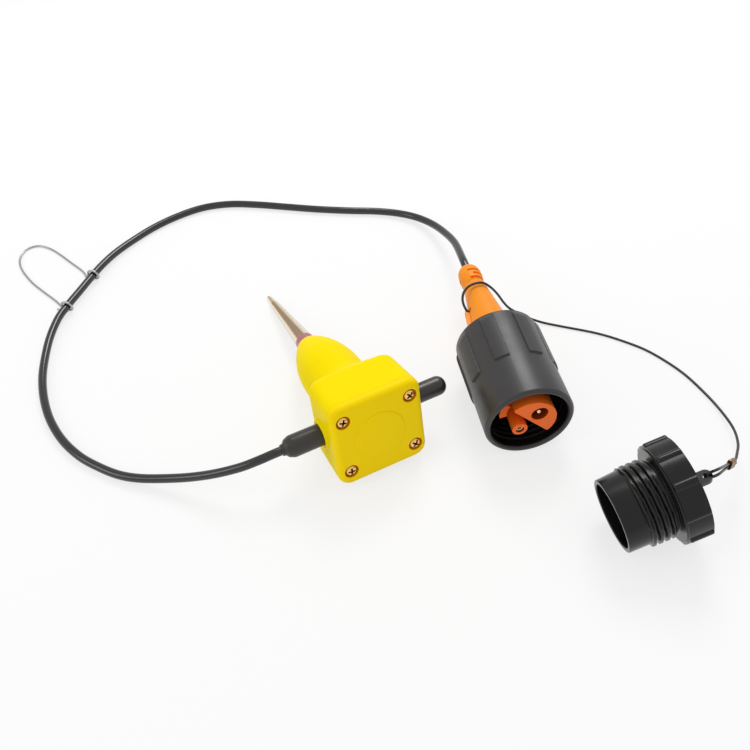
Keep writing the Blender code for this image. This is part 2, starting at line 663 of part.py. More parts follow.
def make_element():
    """The moving-coil element: can, end plates, magnet and poles, coil on two flat springs."""
    inner = ELEMENT_RADIUS - CAN_WALL
    turned("element_can", ring_profile(ELEMENT_RADIUS, inner, ELEMENT_START, ELEMENT_END),
           STEEL, GEOPHONE)
    plate_radius = inner - GAP
    top_start = ELEMENT_START + END_PLATE_INSET
    top_end = top_start + END_PLATE
    base_end = ELEMENT_END - END_PLATE_INSET
    base_start = base_end - END_PLATE
    top = turned("element_top", [(0.0, top_end), (plate_radius, top_end),
                                 (plate_radius, top_start), (0.0, top_start)], FIBRE, GEOPHONE)
    turned("element_base", [(0.0, base_end), (plate_radius, base_end),
                            (plate_radius, base_start), (0.0, base_start)], STEEL, GEOPHONE)
    for number, side in enumerate((-1, 1), 1):
        place = (side * TERMINAL_OFFSET, 0.0)
        cut(top, drum(f"terminal_hole_{number}", TERMINAL_RADIUS + GAP, top_start - 0.001,
                      top_end + 0.001, GEOPHONE, "small", place))
        start = top_start - TERMINAL_REACH
        pin = turned(f"terminal_pin_{number}", [
            (0.0, top_end), (TERMINAL_RADIUS, top_end), (TERMINAL_RADIUS, start),
            (0.0, start)], BRASS, GEOPHONE, "small")
        pin.location = (*place, 0.0)
    weld(top)
    upper_stem = top_end + GAP
    upper_face = upper_stem + STEM_LENGTH
    lower_stem = base_start - GAP
    lower_face = lower_stem - STEM_LENGTH
    turned("pole_upper", [
        (0.0, upper_face + POLE_THICKNESS), (POLE_RADIUS, upper_face + POLE_THICKNESS),
        (POLE_RADIUS, upper_face), (STEM_RADIUS, upper_face), (STEM_RADIUS, upper_stem),
        (0.0, upper_stem)], STEEL, GEOPHONE)
    turned("pole_lower", [
        (0.0, lower_stem), (STEM_RADIUS, lower_stem), (STEM_RADIUS, lower_face),
        (POLE_RADIUS, lower_face), (POLE_RADIUS, lower_face - POLE_THICKNESS),
        (0.0, lower_face - POLE_THICKNESS)], STEEL, GEOPHONE)
    magnet_start = upper_face + POLE_THICKNESS + GAP
    magnet_end = lower_face - POLE_THICKNESS - GAP
    turned("magnet", [(0.0, magnet_end), (MAGNET_RADIUS, magnet_end),
                      (MAGNET_RADIUS, magnet_start), (0.0, magnet_start)], MAGNET_GREY, GEOPHONE)
    make_coil(upper_face, lower_face)
    make_spring("spring_upper", upper_face - GAP - SPRING_THICKNESS)
    make_spring("spring_lower", lower_face + GAP)


def make_coil(start, end):
    """The coil form with its three flanges, and the winding in each of its two channels."""
    middle = (start + end) / 2
    profile = [
        (FORM_FLANGE, end), (FORM_FLANGE, end - FORM_END), (FORM_CORE, end - FORM_END),
        (FORM_CORE, middle + FORM_END / 2), (FORM_FLANGE, middle + FORM_END / 2),
        (FORM_FLANGE, middle - FORM_END / 2), (FORM_CORE, middle - FORM_END / 2),
        (FORM_CORE, start + FORM_END), (FORM_FLANGE, start + FORM_END), (FORM_FLANGE, start),
        (FORM_BORE, start), (FORM_BORE, end)]
    turned("coil_form", profile, STEEL, GEOPHONE)
    channels = (("coil_upper", start + FORM_END, middle - FORM_END / 2),
                ("coil_lower", middle + FORM_END / 2, end - FORM_END))
    for name, low, high in channels:
        turned(name, ring_profile(WINDING_RADIUS, FORM_CORE + GAP, low + GAP, high - GAP),
               COPPER, GEOPHONE)


def spring_slot(first_angle):
    """One curved slot of a flat spring, which winds outwards between hub and rim."""
    span = math.radians(150)
    width = 0.0011
    inner, outer = [], []
    for step in range(7):
        share = step / 6
        angle = first_angle + span * share
        radius = SPRING_HUB + 0.0006 + (SPRING_RIM - SPRING_HUB - 0.0012 - width) * share
        inner.append((radius * math.cos(angle), radius * math.sin(angle)))
        outer.append(((radius + width) * math.cos(angle), (radius + width) * math.sin(angle)))
    return inner + outer[::-1]


def make_spring(name, start):
    """A flat spider spring: hub on the pole's stem, three curved arms, rim on the coil form."""
    outlines = [circle(FORM_FLANGE - 0.0002, 20), circle(STEM_RADIUS + GAP, 12)]
    outlines += [spring_slot(math.radians(120 * number)) for number in range(3)]
    return plate(name, outlines, start, SPRING_THICKNESS, COPPER, GEOPHONE)


def make_core_wires():
    """The lead's two cores, from the gland's inner end to the element's terminals."""
    flange_end = GLAND_FLANGE_PLACE - GLAND_FLANGE_WIDTH - GAP
    height = ELEMENT_START + END_PLATE_INSET - TERMINAL_REACH - GAP
    for number, side in enumerate((-1, 1), 1):
        level = GLAND_POSITION - 0.0012 * (2 * number - 3)
        across = side * TERMINAL_OFFSET
        route = [(-flange_end, 0.0016 * side, level), (-flange_end + 0.0018, 0.0017 * side, level),
                 ((across - flange_end) / 2, 0.0022 * side, level - 0.0012),
                 (across - 0.0006, 0.0008 * side, height - 0.0036),
                 (across, 0.0, height - 0.0015), (across, 0.0, height)]
        wire(f"core_wire_{number}", smooth_route(route, 14), CORE_WIRE_RADIUS, COPPER, GEOPHONE, 1)


def make_collar():
    """The coupling collar: barrel with grip ribs on its rear half and a threaded mouth."""
    rear = COLLAR_LENGTH
    chamfer = COLLAR_CHAMFER
    bore = BODY_BARREL_RADIUS + GAP
    ring_bore = SNAP_RING_RADIUS + GAP
    ring_seat = SNAP_RING_PLACE - GAP
    profile = [
        (COLLAR_REAR_RADIUS - chamfer, rear), (COLLAR_REAR_RADIUS, rear - chamfer),
        (COLLAR_RADIUS, 0.0015), (COLLAR_RADIUS - 0.0009, 0.0), (COLLAR_MOUTH + 0.0006, 0.0),
        (COLLAR_MOUTH, 0.0008), (COLLAR_MOUTH, COLLAR_SHOULDER), (bore, COLLAR_SHOULDER),
        (bore, ring_seat), (ring_bore, ring_seat), (ring_bore, rear)]
    collar = turned("coupling_collar", profile, BLACK, CONNECTOR, "large")
    for number in range(RIB_COUNT):
        angle = -RIB_FIRST_ANGLE - number * 2 * math.pi / RIB_COUNT
        depth = 0.002
        rib = block(f"rib_{number}", (depth, RIB_WIDTH, rear - chamfer * 0.6 - RIB_START),
                    (RIB_RADIUS - depth / 2, 0, (rear - chamfer * 0.6 + RIB_START) / 2), CONNECTOR,
                    Matrix.Rotation(angle, 3, "Z"))
        cut(collar, rib, "UNION")
    return collar


def half_moon(radius, inset=0.0, count=12):
    """A half disc's outline, its straight edge through the axis, turned to its place."""
    start = -TOWER_ANGLE - math.pi / 2
    shift = (inset * math.cos(-TOWER_ANGLE), inset * math.sin(-TOWER_ANGLE))
    return [(shift[0] + radius * math.cos(start + math.pi * step / count),
             shift[1] + radius * math.sin(start + math.pi * step / count))
            for step in range(count + 1)]


def key_outline(grow=0.0):
    """The short key beside the post, a piece of a ring."""
    inner, outer = 0.0085 - grow, TOWER_RADIUS + grow
    start, end = math.radians(168), math.radians(212)
    spread = grow / TOWER_RADIUS
    angles = [start - spread + (end - start + 2 * spread) * step / 6 for step in range(7)]
    return ([(outer * math.cos(angle), outer * math.sin(angle)) for angle in angles]
            + [(inner * math.cos(angle), inner * math.sin(angle)) for angle in angles[::-1]])


PIN_PLACE = (POST_OFFSET * math.cos(-TOWER_ANGLE), POST_OFFSET * math.sin(-TOWER_ANGLE))
POST_PLACE = (-PIN_PLACE[0], -PIN_PLACE[1])
FLANGE_FACE = COLLAR_SHOULDER - GAP - BODY_FLANGE


def cone_profile():
    """The cone from the neck's end down to the barrel."""
    neck = BODY_NECK_RADIUS
    return [(neck, BODY_LENGTH), (neck, BODY_LENGTH - 0.002),
            (neck + 0.0008, BODY_LENGTH - 0.005), (BODY_WAIST_RADIUS, BODY_WAIST),
            (BODY_BARREL_RADIUS - 0.001, BODY_CONE_START + 0.004),
            (BODY_BARREL_RADIUS, BODY_CONE_START)]


def cone_radius(along):
    """The cone's radius at a place along its axis."""
    steps = cone_profile()
    for (small, rear), (large, front) in zip(steps, steps[1:]):
        if front <= along <= rear:
            return small + (large - small) * (rear - along) / (rear - front)
    return steps[-1][0]


LUG_PLACE = BODY_LENGTH - LUG_SETBACK
LUG_CENTRE = -cone_radius(LUG_PLACE) - LUG_HOLE - LUG_CLEARANCE
LUG_REACH = LUG_RADIUS - LUG_CENTRE


def make_connector_body():
    """The orange moulding: contact towers, flange, barrel and the long cone behind them."""
    profile = [
        (0.0, BODY_LENGTH), *cone_profile(), (BODY_BARREL_RADIUS, FLANGE_FACE + BODY_FLANGE),
        (BODY_FLANGE_RADIUS, FLANGE_FACE + BODY_FLANGE), (BODY_FLANGE_RADIUS, FLANGE_FACE),
        (0.0, FLANGE_FACE)]
    body = turned("connector_body", profile, ORANGE, CONNECTOR)
    sunk = FLANGE_FACE + 0.002
    tower = plate("tower_form", [half_moon(TOWER_RADIUS, 0.0004)], TOWER_FACE, sunk - TOWER_FACE,
                  None, CONNECTOR, CUTTERS)
    cut(body, tower, "UNION")
    key = plate("key_form", [key_outline()], KEY_FACE, sunk - KEY_FACE, None, CONNECTOR, CUTTERS)
    cut(body, key, "UNION")
    cut(body, drum("post_form", POST_RADIUS, TOWER_FACE, sunk, CONNECTOR, "small", POST_PLACE),
        "UNION")
    lug = plate("lug_form", [circle(LUG_RADIUS, 16, (LUG_CENTRE, LUG_PLACE))],
                -LUG_RADIUS * 0.6, LUG_RADIUS * 1.2, None, CONNECTOR, CUTTERS)
    lug.rotation_euler = (math.pi / 2, 0, 0)
    cut(body, lug, "UNION")
    cut(body, drum("lug_hole", LUG_HOLE, -0.004, 0.004, CONNECTOR, "small",
                   turn=(math.pi / 2, 0, 0)))
    CUTTERS.objects["lug_hole"].location = (LUG_CENTRE, 0, LUG_PLACE)
    cut(body, drum("recess", RECESS_RADIUS, TOWER_FACE - 0.001, TOWER_FACE + RECESS_DEPTH,
                   CONNECTOR, "small", PIN_PLACE))
    cut(body, drum("pin_hole", PIN_RADIUS + GAP, TOWER_FACE, FLANGE_FACE, CONNECTOR, "small",
                   PIN_PLACE))
    cut(body, drum("socket_hole", POST_BORE, TOWER_FACE - 0.001, FLANGE_FACE, CONNECTOR, "small",
                   POST_PLACE))
    return weld(body)


def make_contacts():
    """The brass pin in the tower's recess and the brass socket in the post."""
    end = FLANGE_FACE - GAP
    pin = turned("contact_pin", [
        (0.0, end), (PIN_RADIUS, end), (PIN_RADIUS, PIN_TIP + PIN_RADIUS),
        (PIN_RADIUS * 0.75, PIN_TIP + PIN_RADIUS * 0.35), (0.0, PIN_TIP)],
        BRASS, CONNECTOR, "small")
    pin.location = (*PIN_PLACE, 0.0)
    outer = POST_BORE - GAP
    start = TOWER_FACE + 0.0008
    socket = turned("contact_socket", [
        (0.0, end), (outer, end), (outer, start), (SOCKET_BORE, start),
        (SOCKET_BORE, end - 0.003), (0.0, end - 0.003)], BRASS, CONNECTOR, "small")
    socket.location = (*POST_PLACE, 0.0)


def make_face_seal():
    """The black rubber face seal, cut out round the towers."""
    outlines = [circle(BODY_FLANGE_RADIUS, 28), half_moon(TOWER_RADIUS + GAP, 0.0001),
                circle(POST_RADIUS + GAP, 16, POST_PLACE), key_outline(GAP)]
    return plate("face_seal", outlines, FLANGE_FACE - GAP - FACE_SEAL_THICKNESS,
                 FACE_SEAL_THICKNESS, RUBBER, CONNECTOR)


def make_retaining_ring():
    """The snap ring on the barrel, in a step of the collar's rear, which keeps the collar on."""
    return turned("retaining_ring",
                  ring_profile(SNAP_RING_RADIUS, BODY_BARREL_RADIUS + GAP, SNAP_RING_PLACE,
                               SNAP_RING_PLACE + SNAP_RING_WIDTH), STEEL, CONNECTOR)


def make_strain_relief():
    """The ribbed orange boot on the lead, behind the connector's neck."""
    start = BODY_LENGTH + GAP
    end = start + RELIEF_LENGTH
    pitch = 0.0031
    profile = [(0.0, end), (RELIEF_END_RADIUS * 0.8, end), (RELIEF_END_RADIUS, end - 0.0008),
               (RELIEF_END_RADIUS + 0.0012, end - 0.0028)]
    for number in range(RELIEF_GROOVES):
        high = end - 0.0045 - number * pitch
        swell = math.sin(math.pi * (0.38 + 0.4 * number / RELIEF_GROOVES))
        radius = RELIEF_END_RADIUS + (RELIEF_RADIUS - RELIEF_END_RADIUS) * swell
        profile += [(radius, high), (radius, high - pitch + 0.0011),
                    (radius - 0.0008, high - pitch + 0.0006)]
    profile += [(BODY_NECK_RADIUS + 0.0006, start + 0.0012), (BODY_NECK_RADIUS, start),
                (0.0, start)]
    return turned("strain_relief", profile, ORANGE, CONNECTOR, "medium")


def lobe_outline():
    """The grip's outline: round lobes on a circle, with a valley at the bottom."""
    reach = DUST_VALLEY_RADIUS ** 2 - LOBE_OFFSET ** 2 - DUST_LOBE_RADIUS ** 2
    widest = math.acos(reach / (2 * LOBE_OFFSET * DUST_LOBE_RADIUS))
    pitch = 2 * math.pi / DUST_LOBES
    valley = pitch - 2 * math.asin(DUST_LOBE_RADIUS * math.sin(widest) / DUST_VALLEY_RADIUS)
    points = []
    for number in range(DUST_LOBES):
        middle = -math.pi / 2 + (number + 0.5) * pitch
        for step in range(-3, 4):
            turn = middle + widest * step / 3
            points.append((LOBE_OFFSET * math.cos(middle) + DUST_LOBE_RADIUS * math.cos(turn),
                           LOBE_OFFSET * math.sin(middle) + DUST_LOBE_RADIUS * math.sin(turn)))
        for step in (-1, 1):
            turn = middle + pitch / 2 + valley / 6 * step
            points.append((DUST_VALLEY_RADIUS * math.cos(turn),
                           DUST_VALLEY_RADIUS * math.sin(turn)))
    return points


def make_dust_cap():
    """The dust cap: open nose, thread ridges, lobed grip flange and an eye for the lanyard."""
    front, rear = DUST_FLANGE_FRONT, DUST_FLANGE_REAR
    profile = [
        (0.0, DUST_BOSS_REAR), (DUST_BOSS_RADIUS - 0.0012, DUST_BOSS_REAR),
        (DUST_BOSS_RADIUS, DUST_BOSS_REAR - 0.0012), (DUST_BOSS_RADIUS, rear),
        (DUST_FLANGE_REAR_RADIUS - 0.0015, rear),
        (DUST_FLANGE_REAR_RADIUS, rear - 0.0012), (DUST_FLANGE_RADIUS, front + 0.001),
        (DUST_FLANGE_RADIUS - 0.0008, front), (DUST_NOSE_RADIUS - 0.0006, front),
        (DUST_NOSE_RADIUS - 0.0006, front - 0.0022)]
    for number in range(DUST_THREADS):
        high = DUST_THREAD_START + (DUST_THREADS - number) * THREAD_PITCH - 0.0007
        profile += [(DUST_THREAD_RADIUS, high), (DUST_THREAD_RADIUS, high - 0.0009),
                    (DUST_NOSE_RADIUS, high - 0.0016)]
        if number < DUST_THREADS - 1:
            profile.append((DUST_NOSE_RADIUS, high - 0.0023))
    profile += [(DUST_NOSE_RADIUS, 0.0004), (DUST_NOSE_RADIUS - 0.0004, 0.0),
                (DUST_BORE + 0.0003, 0.0), (DUST_BORE, 0.0004),
                (DUST_BORE, DUST_DEPTH - 0.002), (DUST_BORE - 0.002, DUST_DEPTH),
                (0.0, DUST_DEPTH)]
    cap = turned("dust_cap", profile, BLACK, DUST, "large")
    lobes = plate("lobe_form", [lobe_outline()], DUST_LOBE_FRONT, DUST_LOBE_REAR - DUST_LOBE_FRONT,
                  None, DUST, CUTTERS)
    cut(cap, lobes, "UNION")
    half = EYE_WIDTH / 2
    eye = [(half, DUST_BOSS_REAR - 0.002)]
    eye += [(half * math.cos(math.pi * step / 10), EYE_PLACE + half * math.sin(math.pi * step / 10))
            for step in range(11)]
    eye.append((-half, DUST_BOSS_REAR - 0.002))
    tab = plate("eye_form", [eye], -EYE_THICKNESS / 2, EYE_THICKNESS, None, DUST, CUTTERS)
    tab.rotation_euler = (math.pi / 2, 0, 0)
    cut(cap, tab, "UNION")
    hole = drum("eye_hole", EYE_HOLE, -EYE_THICKNESS, EYE_THICKNESS, DUST, "small",
                turn=(math.pi / 2, 0, 0))
    hole.location = (0, 0, EYE_PLACE)
    cut(cap, hole)
    return weld(cap)


def make_lead():
    """The lead, from the gland's end to the strain relief's end, in loose curves on the ground."""
    gland_end = GEOPHONE.matrix_world @ Vector((-BOX_SIDE / 2 - GLAND_REACH - GAP, 0,
                                                GLAND_POSITION))
    relief_end = BODY_LENGTH + GAP + RELIEF_LENGTH + GAP
    far_end = CONNECTOR.matrix_world @ Vector((0, 0, relief_end))
    far_run = CONNECTOR.matrix_world @ Vector((0, 0, relief_end + 0.008))
    near_run = gland_end + Vector((-0.004, 0, 0))
    route = [gland_end, near_run, *LEAD_ROUTE, far_run, far_end]
    return wire("lead_cable", smooth_route(route, 60), LEAD_RADIUS, BLACK)


def lanyard_route():
    """The lanyard's route, with both strands through the ferrule and a turn through the eye."""
    lug = CONNECTOR.matrix_world @ Vector((LUG_CENTRE, -0.0002, LUG_PLACE))
    over = BODY_NECK_RADIUS + LANYARD_RADIUS + 0.0012
    crossing = BODY_LENGTH - 0.0032
    near = [CONNECTOR.matrix_world @ Vector(point) for point in (
        (LUG_CENTRE - 0.0004, -0.0035, LUG_PLACE + 0.0005),
        (-LUG_REACH + 0.0004, -0.0060, LUG_PLACE + 0.0065),
        (-0.0050, -over - 0.0012, crossing - 0.0005), (0.0, -over - 0.0022, crossing + 0.0005),
        (0.0055, -over + 0.0005, crossing - 0.0005), (0.0093, -0.0010, crossing - 0.0050))]
    eye = DUST.matrix_world @ Vector((0, 0, EYE_PLACE))
    up = (DUST.matrix_world.to_3x3() @ Vector((0, -1, 0))).normalized()
    out = (DUST.matrix_world.to_3x3() @ Vector((0, 0, 1))).normalized()
    ferrule = Vector(FERRULE_PLACE)
    towards = (ferrule - (eye + out * LANYARD_TURN)).normalized()
    side = (up - towards * up.dot(towards)).normalized()
    half_gap = FERRULE_STRAND_GAP / 2
    upper_far = ferrule + side * half_gap + towards * (FERRULE_LENGTH / 2 + 0.001)
    upper_near = ferrule + side * half_gap - towards * (FERRULE_LENGTH / 2 + 0.001)
    lower_near = ferrule - side * half_gap - towards * (FERRULE_LENGTH / 2 + 0.001)
    tail = ferrule - side * half_gap + towards * (FERRULE_LENGTH / 2 + 0.0035)
    turn = []
    for step in range(9):
        angle = math.pi * step / 8
        turn.append(eye + out * LANYARD_TURN * (1 - math.sin(angle))
                    + up * LANYARD_TURN * math.cos(angle))
    away = out * 0.004
    return ([lug, *near, *[Vector(point) for point in LANYARD_ROUTE], upper_far, upper_near,
             turn[0] + away, *turn, turn[-1] + away, lower_near, tail], ferrule, towards, side)


def make_lanyard():
    """The thin coated wire that keeps the dust cap on the connector, and its crimped ferrule."""
    route, ferrule, towards, side = lanyard_route()
    wire("lanyard", smooth_route(route, 76), LANYARD_RADIUS, BLACK, None, 1)
    across = towards.cross(side)
    sleeve = bpy.data.meshes.new("lanyard_ferrule")
    solid = bmesh.new()
    bmesh.ops.create_cube(solid, size=1.0)
    bmesh.ops.scale(solid, vec=(FERRULE_THICKNESS, FERRULE_WIDTH, FERRULE_LENGTH),
                    verts=solid.verts)
    bmesh.ops.bevel(solid, geom=list(solid.edges), offset=0.0008, segments=1, profile=0.5,
                    affect="EDGES")
    solid.to_mesh(sleeve)
    solid.free()
    thing = add_object("lanyard_ferrule", sleeve, BRASS, None)
    turn = Matrix((across, side, towards)).transposed().to_4x4()
    thing.matrix_world = Matrix.Translation(ferrule) @ turn
    for number, offset in enumerate((-0.5, 0.5), 1):
        hole = drum(f"strand_hole_{number}", LANYARD_RADIUS + GAP, -FERRULE_LENGTH,
                    FERRULE_LENGTH, None, "small")
        hole.matrix_world = (Matrix.Translation(ferrule) @ turn
                             @ Matrix.Translation((0, offset * FERRULE_STRAND_GAP, 0)))
        cut(thing, hole)


def make_wire_clip():
    """The bent wire clip: a ring round the lead at each end of a long loop."""
    first, second = [Vector((*place, CLIP_HEIGHT)) for place in CLIP_RINGS]
    along = (second - first).normalized()
    away = Vector((-along.y, along.x, 0.0))
    ring = CLIP_RING_RADIUS
    centre = (first + second) / 2
    half_spacing = (second - first).length / 2

    def place(u, v, w):
        return centre + along * u + away * v + Vector((0, 0, w))

    def ring_points(start, end, count=10):
        points = []
        for step in range(count + 1):
            share = step / count
            angle = -math.pi / 2 - 2 * math.pi * share
            points.append(place(start + (end - start) * share, ring * math.cos(angle),
                                ring * math.sin(angle)))
        return points

    far, near = half_spacing, -half_spacing
    route = [place(far + CLIP_RING_PITCH, CLIP_TAIL, -ring),
             place(far + CLIP_RING_PITCH, CLIP_TAIL / 2, -ring)]
    route += ring_points(far + CLIP_RING_PITCH, far)
    loop = [place(u, v, -ring) for u, v in CLIP_LOOP]
    smooth_loop = smooth_route([place(far, 0.004, -ring), *loop, place(near, 0.004, -ring)], 30)
    back = ring_points(near, near - CLIP_RING_PITCH)
    route += smooth_loop + back
    route += [place(near - CLIP_RING_PITCH, CLIP_TAIL / 2, -ring),
              place(near - CLIP_RING_PITCH, CLIP_TAIL, -ring)]
    return wire("wire_clip", route, CLIP_WIRE_RADIUS, STEEL, None, 1)


make_case()
make_cap()
make_cap_seal()
make_screws()
make_spike()
make_side_fittings()
make_element()
make_core_wires()
make_collar()
make_connector_body()
make_contacts()
make_face_seal()
make_retaining_ring()
make_strain_relief()
make_dust_cap()
make_lead()
make_lanyard()
make_wire_clip()
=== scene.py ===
# %% [markdown]
# A geophone with its lead, coupling connector, dust cap and wire clip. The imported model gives
# every piece its place. This script gives each one its finished shape and surface. It starts
# with the frame, because all that follows is placed from its joints and mounts.

# %% Load the frame
import json
import math

import bmesh
import bpy
from mathutils import Matrix, Vector


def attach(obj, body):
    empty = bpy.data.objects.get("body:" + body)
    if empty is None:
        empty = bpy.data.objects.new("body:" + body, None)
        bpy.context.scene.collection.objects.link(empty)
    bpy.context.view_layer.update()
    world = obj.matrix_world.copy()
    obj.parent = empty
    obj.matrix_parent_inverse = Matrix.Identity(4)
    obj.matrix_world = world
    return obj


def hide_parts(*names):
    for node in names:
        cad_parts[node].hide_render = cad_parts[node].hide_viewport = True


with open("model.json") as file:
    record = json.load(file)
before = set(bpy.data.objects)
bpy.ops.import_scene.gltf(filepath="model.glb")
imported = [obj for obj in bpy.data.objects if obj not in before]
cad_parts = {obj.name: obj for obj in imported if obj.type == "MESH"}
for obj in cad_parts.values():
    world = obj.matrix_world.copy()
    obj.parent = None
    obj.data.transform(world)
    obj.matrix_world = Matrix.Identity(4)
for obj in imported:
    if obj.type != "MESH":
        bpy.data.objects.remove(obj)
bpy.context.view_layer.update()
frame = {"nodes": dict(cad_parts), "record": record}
RECORD = frame["record"]
JOINTS = {joint["name"]: joint for joint in RECORD["behaviour"]["joints"]}
print("pieces in the frame:", len(frame["nodes"]), "joints:", sorted(JOINTS))

# %% [markdown]
# The camera comes first, so that every later choice can be judged in the photograph's own view.
# It looks down at about 47 degrees on the open ring that the lead makes. A camera that is only
# aimed at a point stays level, so a small roll is added to its axes afterwards.

# %% Camera
CAMERA_PLACE = Vector((-0.10826, -0.28999, 0.33293))
CAMERA_TARGET = Vector((0.02437, -0.01119, 0.0))
CAMERA_ROLL = math.radians(-2.79)
CAMERA_LENS = 43.2


def aim(place, target, roll=0.0):
    """A matrix at place whose -Z looks at target, turned by roll about that line."""
    forward = (target - place).normalized()
    right = forward.cross(Vector((0, 0, 1))).normalized()
    up = right.cross(forward)
    rolled_right = right * math.cos(roll) + up * math.sin(roll)
    rolled_up = -right * math.sin(roll) + up * math.cos(roll)
    turn = Matrix((rolled_right, rolled_up, -forward)).transposed().to_4x4()
    return Matrix.Translation(place) @ turn


camera_data = bpy.data.cameras.new("camera")
camera_data.lens = CAMERA_LENS
camera_data.clip_start = 0.01
camera = bpy.data.objects.new("camera", camera_data)
camera.matrix_world = aim(CAMERA_PLACE, CAMERA_TARGET, CAMERA_ROLL)
bpy.context.scene.collection.objects.link(camera)
bpy.context.scene.camera = camera
print("camera distance in mm:", round((CAMERA_PLACE - CAMERA_TARGET).length * 1000))

# %% [markdown]
# The product lies in three straight-lined groups: the geophone, the connector and the dust cap.
# Each group is easiest to model upright, along its own Z axis, so each gets one matrix, worked
# out from the frame's joints. The pieces are then built in those local axes and set in place
# with the group's matrix, which also lets a texture follow the piece's own axis.

# %% Local axes of the three groups
GAP = 0.0003
DISC_HEIGHT = 0.0005
COLLAR_MIDDLE = 0.025
EYE_PLACE = 0.042
DUST_HEADING = math.radians(100.9)
DUST_LOBES = 10
REST_NOSE_RADIUS = 0.0166
REST_LOBE_FRONT = 0.0262
REST_LOBE_CREST = 0.0242
REST_LOBE_RADIUS = 0.0035
REST_DROP = (REST_LOBE_CREST - REST_LOBE_RADIUS) * math.cos(math.pi / DUST_LOBES) + REST_LOBE_RADIUS
DUST_TILT = math.atan2(REST_DROP - REST_NOSE_RADIUS, REST_LOBE_FRONT)


def axes_at(origin, along):
    """A matrix at origin whose +Z runs along the given direction and whose -Y leans upwards."""
    z_axis = Vector(along).normalized()
    x_axis = z_axis.cross(Vector((0, 0, 1))).normalized()
    y_axis = z_axis.cross(x_axis)
    return Matrix.Translation(origin) @ Matrix((x_axis, y_axis, z_axis)).transposed().to_4x4()


disc = next(mount for mount in RECORD["mounts"] if mount["name"] == "cap_disc_face")
geophone_axis = -Vector(disc["axis"])
GEOPHONE = axes_at(Vector(disc["pos_m"]) + geophone_axis * DISC_HEIGHT, geophone_axis)
collar_axis = Vector(JOINTS["collar_spin"]["axis"])
CONNECTOR = axes_at(Vector(JOINTS["collar_spin"]["pos_m"]) - collar_axis * COLLAR_MIDDLE, collar_axis)
dust_axis = Vector((math.sin(DUST_HEADING) * math.cos(DUST_TILT),
                    math.cos(DUST_HEADING) * math.cos(DUST_TILT), math.sin(DUST_TILT)))
DUST = axes_at(Vector(JOINTS["cap_swing"]["pos_m"]) - dust_axis * EYE_PLACE, dust_axis)
for label, group in (("geophone", GEOPHONE), ("connector", CONNECTOR), ("dust cap", DUST)):
    print(label, "starts at", [round(value * 1000, 1) for value in group.translation])

# %% [markdown]
# Lead and lanyard come before everything else, because they set how far the product spreads.
# Each lies along listed points. Straight lines between the points would show as kinks, so a
# Catmull-Rom curve runs through them, and one poly spline follows that curve closely. Its bevel
# depth makes it round, and it is then turned into a mesh, so that its size can be measured like
# that of any other piece.

# %% Cord helpers
LEAD_RADIUS = 0.0021
LANYARD_RADIUS = 0.00065
CURVE_STEPS = 12


def smooth_run(points, spacing):
    """Evenly spaced points along a smooth curve through the given ones."""
    places = [Vector(point) for point in points]
    places = [2 * places[0] - places[1]] + places + [2 * places[-1] - places[-2]]
    fine = []
    for before, first, second, after in zip(places, places[1:], places[2:], places[3:]):
        for step in range(CURVE_STEPS):
            t = step / CURVE_STEPS
            fine.append(0.5 * ((2 * first) + (second - before) * t
                               + (2 * before - 5 * first + 4 * second - after) * t ** 2
                               + (3 * first - before - 3 * second + after) * t ** 3))
    fine.append(places[-2])
    reach = [0.0]
    for first, second in zip(fine, fine[1:]):
        reach.append(reach[-1] + (second - first).length)
    count = max(2, round(reach[-1] / spacing))
    even = []
    index = 0
    for step in range(count + 1):
        target = reach[-1] * step / count
        while index < len(reach) - 2 and reach[index + 1] < target:
            index += 1
        share = (target - reach[index]) / (reach[index + 1] - reach[index])
        even.append(fine[index].lerp(fine[index + 1], share))
    return even


def run_length(points):
    """The length of a line through points."""
    return sum((second - first).length for first, second in zip(points, points[1:]))


def wire(name, points, radius, sides):
    """A round wire along points: a bevelled poly spline with closed ends, turned into a mesh."""
    curve = bpy.data.curves.new(name, "CURVE")
    curve.dimensions = "3D"
    curve.bevel_depth = radius
    curve.bevel_resolution = sides
    curve.use_fill_caps = True
    spline = curve.splines.new("POLY")
    spline.points.add(len(points) - 1)
    for point, place in zip(spline.points, points):
        point.co = (*place, 1.0)
    spline.use_smooth = True
    line = bpy.data.objects.new(f"{name}_line", curve)
    bpy.context.scene.collection.objects.link(line)
    bpy.context.view_layer.update()
    seen = line.evaluated_get(bpy.context.evaluated_depsgraph_get())
    mesh = bpy.data.meshes.new_from_object(seen)
    bpy.data.objects.remove(line, do_unlink=True)
    solid = bmesh.new()
    solid.from_mesh(mesh)
    bmesh.ops.remove_doubles(solid, verts=solid.verts, dist=0.000001)
    solid.to_mesh(mesh)
    solid.free()
    mesh.materials.clear()
    mesh.shade_smooth()
    mesh.set_sharp_from_angle(angle=math.radians(50))
    thing = bpy.data.objects.new(name, mesh)
    bpy.context.scene.collection.objects.link(thing)
    return thing


# %% [markdown]
# The lead leaves the gland on the left, lies on the ground in an open ring and rises to the
# connector. It runs through both rings of the wire clip, so their places are set here too.

